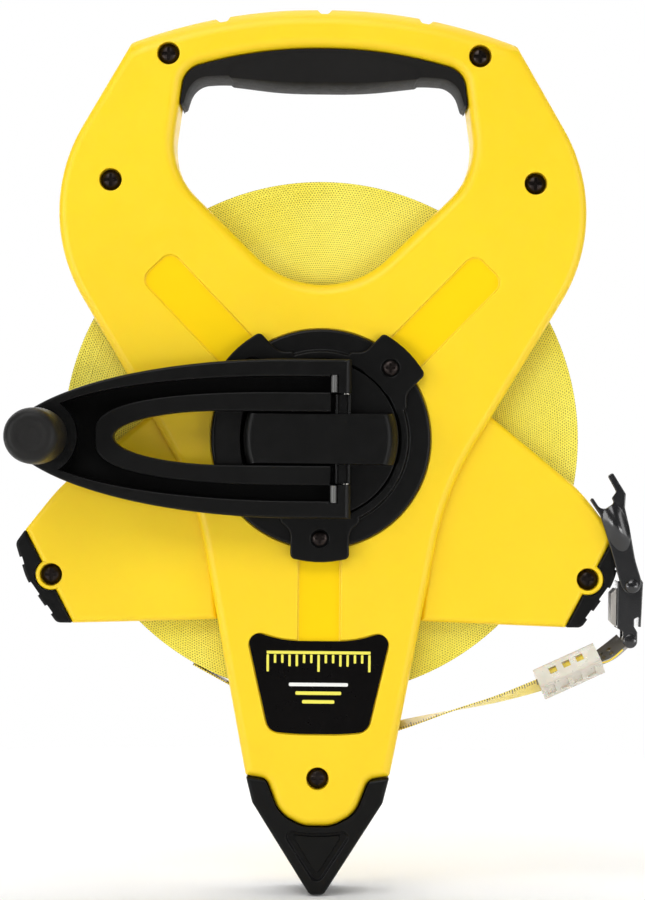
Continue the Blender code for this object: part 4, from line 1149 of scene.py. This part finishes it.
def boot():
    """The black ground spike: a solid point with a web reaching up between the shells."""
    body = slab("spike", mirrored(BOOT_RIGHT), FRAME_HALF, 1.5)
    leg = rounded(mirrored(FRAME_RIGHT), -GAP)
    tools = []
    for side in (-1, 1):
        tools.append(prism(f"spike leg {side}", leg, side * (SIDE_ROOM - GAP), side * BEYOND))
        tools.append(soft_cutter(f"spike panel {side}", BOOT_PANEL, FRAME_HALF, 2.6, side, 0.7, 1.0))
    tools.append(rod("spike screw way", 6.5, -5 - SIDE_ROOM, 5 + SIDE_ROOM, LEG_SCREW))
    cut(body, *tools)
    for side in (-1, 1):
        ridge = [(-9.6, -147.2, 1.0), (0.0, -162.8, 1.5), (9.6, -147.2, 1.0), (0.0, -148.6, 60.0)]
        top, foot = side * (FRAME_HALF - 2.1), side * (FRAME_HALF - 3.0)
        join(body, soft_plate(f"ridge {side}", ridge, top, foot, 0.35))
    finish_piece(body, "case", ["ground_spike"], "black_plastic", BLACK, angle=30)


def bumper(name, node, side):
    """A ribbed black corner of a wing, from front to rear."""
    body = slab(name, one_side(BUMPER_RIGHT, side), WING_HALF, 1.1)
    tools = [prism(f"{name} wing", rounded(one_side(WING_RIGHT, side), -0.2), -BEYOND, BEYOND),
             rod(f"{name} eye", 6.2, -BEYOND, BEYOND, (side * WING_SCREW[0], WING_SCREW[1]), 48)]
    upper = (Vector((113.6, -39.9)), Vector((109.4, -53.6)))
    lower = (Vector((109.4, -53.6)), Vector((98.0, -69.5)))
    for edge, middle, half in ((upper, 7.0, 1.5), (lower, 4.4, 2.9), (lower, 13.9, 1.9)):
        along = (edge[1] - edge[0]).normalized()
        out = Vector((-along.y, along.x))
        centre = edge[0] + along * middle
        spot = [centre - along * half - out, centre - along * half + out * 3,
                centre + along * half + out * 3, centre + along * half - out]
        corners = [(side * p.x, p.y, 0.3) for p in spot]
        corners = corners[::-1] if side < 0 else corners
        tools.append(prism(f"{name} rib {middle}", rounded(corners[::-1]), -BEYOND, BEYOND))
    cut(body, *tools)
    finish_piece(body, "case", [node], "black_plastic", BLACK, angle=30)


def label():
    """The label plate, with a plain rule drawn on it in raised ink and no lettering."""
    plate = soft_plate("label", mirrored(LABEL_RIGHT), -FRAME_HALF + 0.1, -FRAME_HALF + 0.7, 0.25)
    finish_piece(plate, "case", ["label_plate"], "label", LABEL)
    face = -FRAME_HALF + 0.1
    for index in range(15):
        across = 2.7 * (index - 7)
        height = 6.4 if index % 7 == 0 else (4.4 if index % 7 in (3, 4) else 3.2)
        tick = ink_bar(f"label_tick_{index + 1}", across, -80.2 - height, 0.9, height, face)
        finish_piece(tick, "case", [], "label", INK_YELLOW)
    rule = ink_bar("label_rule", 0.0, -80.0, 38.7, 1.1, face)
    finish_piece(rule, "case", [], "label", INK_YELLOW)
    for index, (width, up) in enumerate(((22.0, -92.0), (17.0, -95.2), (12.0, -98.4))):
        bar_piece = ink_bar(f"label_bar_{index + 1}", 0.0, up, width, 1.3, face)
        finish_piece(bar_piece, "case", [], "label", INK_WHITE if index == 0 else INK_YELLOW)


def ink_bar(name, across, low, width, height, face):
    """A thin raised bar of ink with round corners, centred across."""
    radius = min(width, height) * 0.35
    corners = [(across - width / 2, low, radius), (across + width / 2, low, radius),
               (across + width / 2, low + height, radius), (across - width / 2, low + height, radius)]
    return prism(name, rounded(corners), face - 0.05, face + 0.05)


def cross_screw(name, node, across, up, front, head, height, shank, length, body="case"):
    """A round-headed screw facing the crank side, with a cross recess."""
    profile = [(0, front)] + dome(head, front, height * 0.75, 8)
    profile += [(head, front + height), (shank, front + height), (shank, front + length), (0, front + length)]
    made = turned(name, profile, (across, up), 40)
    reach, arm = head * 0.62, head * 0.15
    for word, wide, high in (("a", reach, arm), ("b", arm, reach)):
        low_corner = (across - wide, front - 1, up - high)
        cut(made, block(f"{name} cross {word}", low_corner, (across + wide, front + 1.0, up + high)))
    finish_piece(made, body, [node], "black_steel", DARK_STEEL, angle=30)


# ---------------------------------------------------------------- reel, hub and crank


def winding():
    """The wound blade: a ridge about every 0.8 mm on both sides, each a little proud or shy."""
    rings = 77
    pitch = (WINDING_RADIUS - WINDING_CORE) / rings
    near = []
    for index in range(rings):
        radius = WINDING_CORE + pitch * index
        shy = 0.1 + 0.05 * math.sin(2.7 * index) * math.sin(0.9 * index)
        near += [(radius + pitch * 0.06, shy + 0.05), (radius + pitch * 0.3, shy),
                 (radius + pitch * 0.72, shy), (radius + pitch * 0.96, shy + 0.05)]
    front = [(WINDING_CORE, -WINDING_HALF + 0.3)] + [(r, -WINDING_HALF + d) for r, d in near]
    front.append((WINDING_RADIUS, -WINDING_HALF + 0.35))
    back = [(r, -d) for r, d in reversed(front)]
    made = turned("wound_blade", front + back, sides=180)
    finish_piece(made, "reel", ["tape_winding"], "blade", WOUND, angle=60)


def hub_cover():
    """The fixed black bearing ring with three screwed lobes."""
    disc = [
        (COVER_BORE, -16.6), (COVER_RADIUS, -16.6), (COVER_RADIUS, -18.4), (COVER_RADIUS - 0.7, -19.0),
        (COVER_RING + 0.6, -19.0), (COVER_RING, -COVER_FACE), (29.9, -COVER_FACE), (COVER_BORE, -21.1),
    ]
    body = turned("bearing_cover", fillet_profile(disc, 0.5), sides=160)
    lobes = []
    for degrees in LOBE_ANGLES:
        corners = (
            (28.6, -14.6, 0.1), (30.8, -14.6, 0.6), (34.2, -LOBE_HALF, 5.0), (44.3, -LOBE_HALF, 2.0),
            (46.6, 0.0, 38.0), (44.3, LOBE_HALF, 2.0), (34.2, LOBE_HALF, 5.0), (30.8, 14.6, 0.6),
            (28.6, 14.6, 0.1),
        )
        outline = turned_corners(corners, degrees)
        lobes.append(soft_plate(f"lobe {degrees}", outline, -COVER_FACE, -17.8, 0.7))
    join(body, *lobes)
    cut(body, rod("cover bore", COVER_BORE, -BEYOND, -17, sides=160))
    cut(body, rod("flange seat", 31.3, -18.0, 0, sides=160))
    for index, degrees in enumerate(LOBE_ANGLES):
        at = polar(LOBE_SCREW_RADIUS, degrees)
        cut(body, rod(f"cover hole {degrees}", 1.7, -BEYOND, 0, at, 20))
        cut(body, well(f"cover well {degrees}", *at, COVER_FACE, 1.3, 3.3))
        cross_screw(f"cover_screw_{index + 1}", f"hub_screw_{index + 1}", *at, -22.0, 2.9, 1.6, 1.25, 11.5)
    finish_piece(body, "case", ["hub_cover"], "black_plastic", BLACK, angle=28)


def tongue_band(left, right, half, steps=16):
    """The disc's middle band: straight sides and ends that follow circles."""
    points = []
    for radius, middle in ((right, 0.0), (left, math.pi)):
        swing = math.asin(half / radius)
        points += [
            radius * Vector((math.cos(middle + a), math.sin(middle + a)))
            for a in (swing * (2 * k / steps - 1) for k in range(steps + 1))
        ]
    return points


def hinge_lug():
    """A hinge lug's section as (across, depth): a waisted block with two raised rims along the hinge."""
    outline = [Vector((5.2, -21.0))]
    for middle in (5.75, 10.45):
        outline += [Vector((middle + 0.55 * math.cos(a), -31.2 - 0.55 * math.sin(a)))
                    for a in (math.pi * (1 - k / 10) for k in range(11))]
        if middle < 8:
            outline += [Vector((6.7, -30.4)), Vector((9.5, -30.4))]
    return outline + [Vector((11.0, -21.0))]


def pin_hole(name):
    """A cutter for the hole that the folding pin goes through."""
    return bar(name, circle(1.8, (HINGE_ACROSS, HINGE_DEPTH), 32), -BEYOND, BEYOND)


def crank_hub():
    """The turning disc: gear carrier behind, raised tongue and hinge lugs in front."""
    disc = [
        (0, -22.0), (DISC_RADIUS, -22.0), (DISC_RADIUS, -17.6), (SKIRT_RADIUS, -17.6), (SKIRT_RADIUS, -15.0),
        (AXLE_BORE, -15.0), (AXLE_BORE, -19.8), (0, -19.8),
    ]
    body = turned("crank_disc", [disc[0]] + fillet_profile(disc, 0.6)[1:], sides=128)
    sections = [(-21.0, tongue_band(28.6, 28.7, TONGUE_HALF)), (-28.4, tongue_band(28.5, 28.4, TONGUE_HALF))]
    for k in range(1, 9):
        angle = 0.5 * math.pi * k / 8
        drop = 28.4 + 4.2 * math.sin(angle)
        left = 28.5 - 3.0 * (1 - math.cos(angle))
        right = 28.4 - 4.0 * k / 8
        sections.append((-drop, tongue_band(left, right, TONGUE_HALF - 0.5 * (1 - math.cos(angle)))))
    join(body, loft("tongue", sections))
    lugs = []
    for low, high in ((-16.4, -9.0), (9.0, 16.4)):
        lugs.append(bar(f"lug {low}", hinge_lug(), low, high))
    join(body, *lugs)
    cut(body, pin_hole("hub pin hole"))
    for degrees in PLANET_ANGLES:
        join(body, rod(f"planet post {degrees}", 2.0, -16.0, -9.6, polar(PLANET_ORBIT, degrees), 24))
    finish_piece(body, "crank", ["crank_hub"], "black_plastic", BLACK, angle=28)


def end_rounding():
    """A cutter that rounds the arm's hinge end into half a barrel."""
    radius = 3.5
    centre = Vector((ARM_END - 3.2, ARM_FRONT + 3.3))
    arc = [centre + radius * Vector((math.cos(a), -math.sin(a))) for a in quarter(12)]
    outside = [Vector((centre.x, -45.0)), Vector((25.0, -45.0)), Vector((25.0, centre.y))]
    return bar("arm end rounding", arc + outside, -BEYOND, BEYOND)


def arm_body():
    """The arm's solid outside, with both of its rims rounded."""
    def outer(a):
        inset = ARM_RIM * (1 - math.cos(a))
        return bullet(115.0 - inset, ARM_HALF - inset, ARM_END - inset * 0.7, 10.0, 2.0, 0.575, 64)

    sections = [(ARM_FRONT + ARM_RIM * (1 - math.sin(a)), outer(a)) for a in reversed(quarter(5))]
    sections += [(ARM_BACK - ARM_RIM * (1 - math.sin(a)), outer(a)) for a in quarter(5)]
    return loft("arm", sections)


def lipped_cutter(name, floor_level, outline):
    """A cutter into the arm's front with a rounded lip: outline gives its shape for a spread."""
    sections = [(-BEYOND, outline(ARM_LIP + 6.8))]
    for a in reversed(quarter(5)):
        sections.append((ARM_FRONT + ARM_LIP * (1 - math.sin(a)), outline(ARM_LIP * (1 - math.cos(a)))))
    return loft(name, sections + [(floor_level, outline(0.0))])


def arm_trough():
    """A cutter for the trough between the arm's outer wall and the band round its slot."""
    trough = lipped_cutter(
        "trough", TROUGH_FLOOR, lambda i: bullet(107.0 + i, 22.9 + i, 3.4, 10.0, 2.0, 0.42, 64)
    )
    cut(trough, lipped_cutter(
        "inner band", 0.0, lambda i: bullet(83.0 - i, 17.1 - i, 20.0, 10.0, 2.4, 0.33, 64)
    ))
    return cut(trough, rod("knob boss", 14.6, -50, 0, (-104.2, 0), 96))


def hinge_pieces():
    """The arm's two hinge barrels, black plastic painted light grey as a highlight, and the pin that it folds
    on.
    """
    for side, word in ((-1, "low"), (1, "high")):
        low, high = sorted((side * 17.2, side * 23.5))
        piece = bar(f"barrel_{word}", circle(1.25, (4.95, -31.6), 40), low, high)
        finish_piece(piece, "arm", [], "black_plastic", BARREL_PAINTED_HIGHLIGHT)
    pin = bar("fold_pin", circle(1.45, (HINGE_ACROSS, HINGE_DEPTH), 36), -29.0, 29.0)
    finish_piece(pin, "crank", ["hinge_pin"], "steel", STEEL)


def crank_arm():
    """The pointed open arm, a channel bent round its slot, hinged on the disc."""
    body = arm_body()
    cut(body, arm_trough())
    cut(body, lipped_cutter("slot", 0.0, lambda i: bullet(76.3 + i, 9.95 + i, 20.0, 35.0, 2.0, 0.5, 48)))
    cut(body, block("hub lug room", (3.6, -50, -16.8), (20, 0, 16.8)))
    for side in (-1, 1):
        cut(body, block(f"knuckle room {side}", (3.3, -50, side * 16.0), (6.5, -25.4, side * 23.6)))
    cut(body, end_rounding())
    cut(body, pin_hole("arm pin hole"))
    cut(body, rod("knob pin hole", 3.2, -BEYOND, 0, (KNOB_ACROSS, 0)))
    bridge = [Vector(p) for p in ((-38.2, -9.9), (-28.9, -9.9), (-29.6, -5.0), (-29.9, 0.0), (-29.6, 5.0),
                                  (-28.9, 9.9), (-38.2, 9.9), (-38.6, 5.0), (-38.8, 0.0), (-38.6, -5.0))]
    join(body, prism("bridge", bridge, -27.4, ARM_BACK - 0.02))
    finish_piece(body, "arm", ["crank_arm"], "black_plastic", BLACK, BLACK_TROUGH_SHADE, angle=28)
    # The trough floor takes the second, darker black: painted shade in the trough.
    for face in body.data.polygons:
        face.material_index = int(abs(face.center.y / MM - TROUGH_FLOOR) < 0.05 and face.normal.y < -0.99)
    hinge_pieces()


def knob():
    """The free-turning rubber knob, closed over the shouldered pin it turns on."""
    outline = []
    for k in range(13):
        share = k / 12
        ripple = 0.07 * math.sin(4 * math.pi * share) * share
        outline.append((KNOB_TOP * share, KNOB_FRONT + 0.2 * (1 - share) + ripple))
    outline += dome(3.4, KNOB_FRONT, 5.0, 16, flat=KNOB_TOP)
    outline += [(10.0 + 0.3 * math.sin(math.pi * k / 10), -72.75 + 3.34 * k) for k in range(1, 11)]
    outline += [(9.4, -37.2), (9.8, -36.0), (9.5, -34.2), (8.9, -33.6)]
    outline += [(3.3, -33.6), (3.3, -75.0), (4.9, -75.0), (4.9, -77.2), (0, -77.2)]
    made = turned("knob_grip", outline, (KNOB_ACROSS, 0), 96)
    finish_piece(made, "grip_knob", ["knob"], "grip_rubber", KNOB_RUBBER, angle=40)
    pin = [(0, -77.1), (4.4, -77.1), (4.6, -76.9), (4.6, -75.3), (2.9, -75.3), (2.9, -22.9), (0, -22.9)]
    axle = turned("knob_axle", pin, (KNOB_ACROSS, 0), 48)
    finish_piece(axle, "arm", ["knob_pin"], "black_steel", KNOB_RUBBER)


def rear_cap():
    """The flanged cap over the axle at the rear."""
    cap = [(8.9, 20.0), (8.9, 17.8), (24.0, 17.8), (24.0, 19.4), (22.4, 21.0), (14.0, 22.0), (0, 22.0)]
    made = turned("back_cap", [(0, 20.0)] + [(8.9, 20.0)] + fillet_profile(cap, 0.8)[1:], sides=128)
    finish_piece(made, "case", ["rear_cap"], "black_plastic", BLACK, angle=28)


# ---------------------------------------------------------------- the hook


def hook():
    """The end hook: a body hung on the bracket's pin, a side plate, and a claw on a rivet."""
    near, far = HOOK_MIDDLE - HOOK_HALF, HOOK_MIDDLE + HOOK_HALF
    body = slab_between("hook_frame", HOOK_OUTLINE, near, far, 0.35)
    cut(body, block("eye gap", (108, HOOK_MIDDLE - 5.4, -85), (125, HOOK_MIDDLE + 5.4, -69.2)))
    cut(body, rod("eye bore", 1.5, -BEYOND, BEYOND, HOOK_PIVOT, 24))
    cut(body, rod("rivet bore", 1.7, -BEYOND, BEYOND, CLAW_RIVET, 24))
    finish_piece(body, "hook", ["hook_body"], "black_steel", HOOK_STEEL, angle=30)
    pin = [(0, near - 0.9)] + dome(2.6, near - 0.9, 0.55, 6)
    pin += [(2.6, near - 0.3), (1.2, near - 0.3), (1.2, far - 0.4), (0, far - 0.4)]
    finish_piece(turned("pivot_pin", pin, HOOK_PIVOT, 36), "hook", ["hook_pin"], "black_steel", HOOK_STEEL)
    plate = slab_between("side_plate", PLATE_OUTLINE, near + 0.6, far - 0.6, 0.2)
    finish_piece(plate, "hook", ["hook_plate"], "steel", PLATE_GREY)
    claw = slab_between("hook_claw", CLAW_OUTLINE, near - 1.9, near - 0.3, 0.5)
    belly = claw_swell(near - 1.7)
    combine(belly, "INTERSECT", prism("claw reach", rounded(CLAW_OUTLINE, 0.25), near - 9, near - 0.9))
    join(claw, belly)
    cut(claw, rod("claw bore", 1.7, -BEYOND, BEYOND, CLAW_RIVET, 24))
    finish_piece(claw, "claw_plate", ["claw"], "black_steel", HOOK_STEEL, angle=40)
    rivet = [(0, near - 3.4)] + dome(2.7, near - 3.4, 1.3, 8)
    rivet += [(1.4, near - 2.1), (1.4, far - 0.4), (0, far - 0.4)]
    made = turned("claw_pivot", rivet, CLAW_RIVET, 40)
    finish_piece(made, "hook", ["claw_rivet"], "black_steel", HOOK_STEEL)


def slab_between(name, corners, front, back, edge, steps=3):
    """A prism between two depths with both of its edges rounded."""
    middle = (front + back) / 2
    first = edge_sections(corners, front, middle, edge, 0.0, steps)
    second = edge_sections(corners, back, middle, edge, 0.0, steps)
    return loft(name, first + second[::-1])


def claw_swell(depth):
    """The rounded back of the claw's trough, standing proud of its plate."""
    shape = bmesh.new()
    bmesh.ops.create_uvsphere(shape, u_segments=56, v_segments=32, radius=1.0)
    for vert in shape.verts:
        x, y, z = vert.co
        up = -31.5 + 10.0 * z
        across = 110.5 - 0.247 * (up + 31.5) + 5.0 * x
        vert.co = place(across, depth + 2.6 * math.copysign(abs(y) ** 2.6, y), up)
    return from_bmesh("swell", shape)


# ---------------------------------------------------------------- assembly


CARRIED = {
    "ring_gear": NYLON, "sun_gear": NYLON, "planet_gear_1": NYLON, "planet_gear_2": NYLON,
    "planet_gear_3": NYLON, "reel_drum": NYLON, "guide_roller": NYLON, "roller_pin": STEEL,
    "axle": STEEL, "friction_washer": FELT,
}


def carried_nodes():
    """Materials for the inner CAD nodes whose shapes stay."""
    for node, look in CARRIED.items():
        piece = bpy.data.objects[node]
        piece.data.materials.clear()
        piece.data.materials.append(look)


def build():
    camera()
    blade, route, fittings = blade_end()
    studio()
    floor()
    hook()
    shell("front_case", "front_shell", -1)
    shell("rear_case", "rear_shell", 1)
    boot()
    bumper("bumper_l", "left_bumper", -1)
    bumper("bumper_r", "right_bumper", 1)
    grip()
    label()
    for node, across, up, face in CASE_SCREWS:
        cross_screw(f"{node}_look", node, across, up, -face + 1.4, 3.8, 2.7, 1.5, face + 6.6)
    winding()
    hub_cover()
    crank_hub()
    crank_arm()
    knob()
    rear_cap()
    carried_nodes()


build()
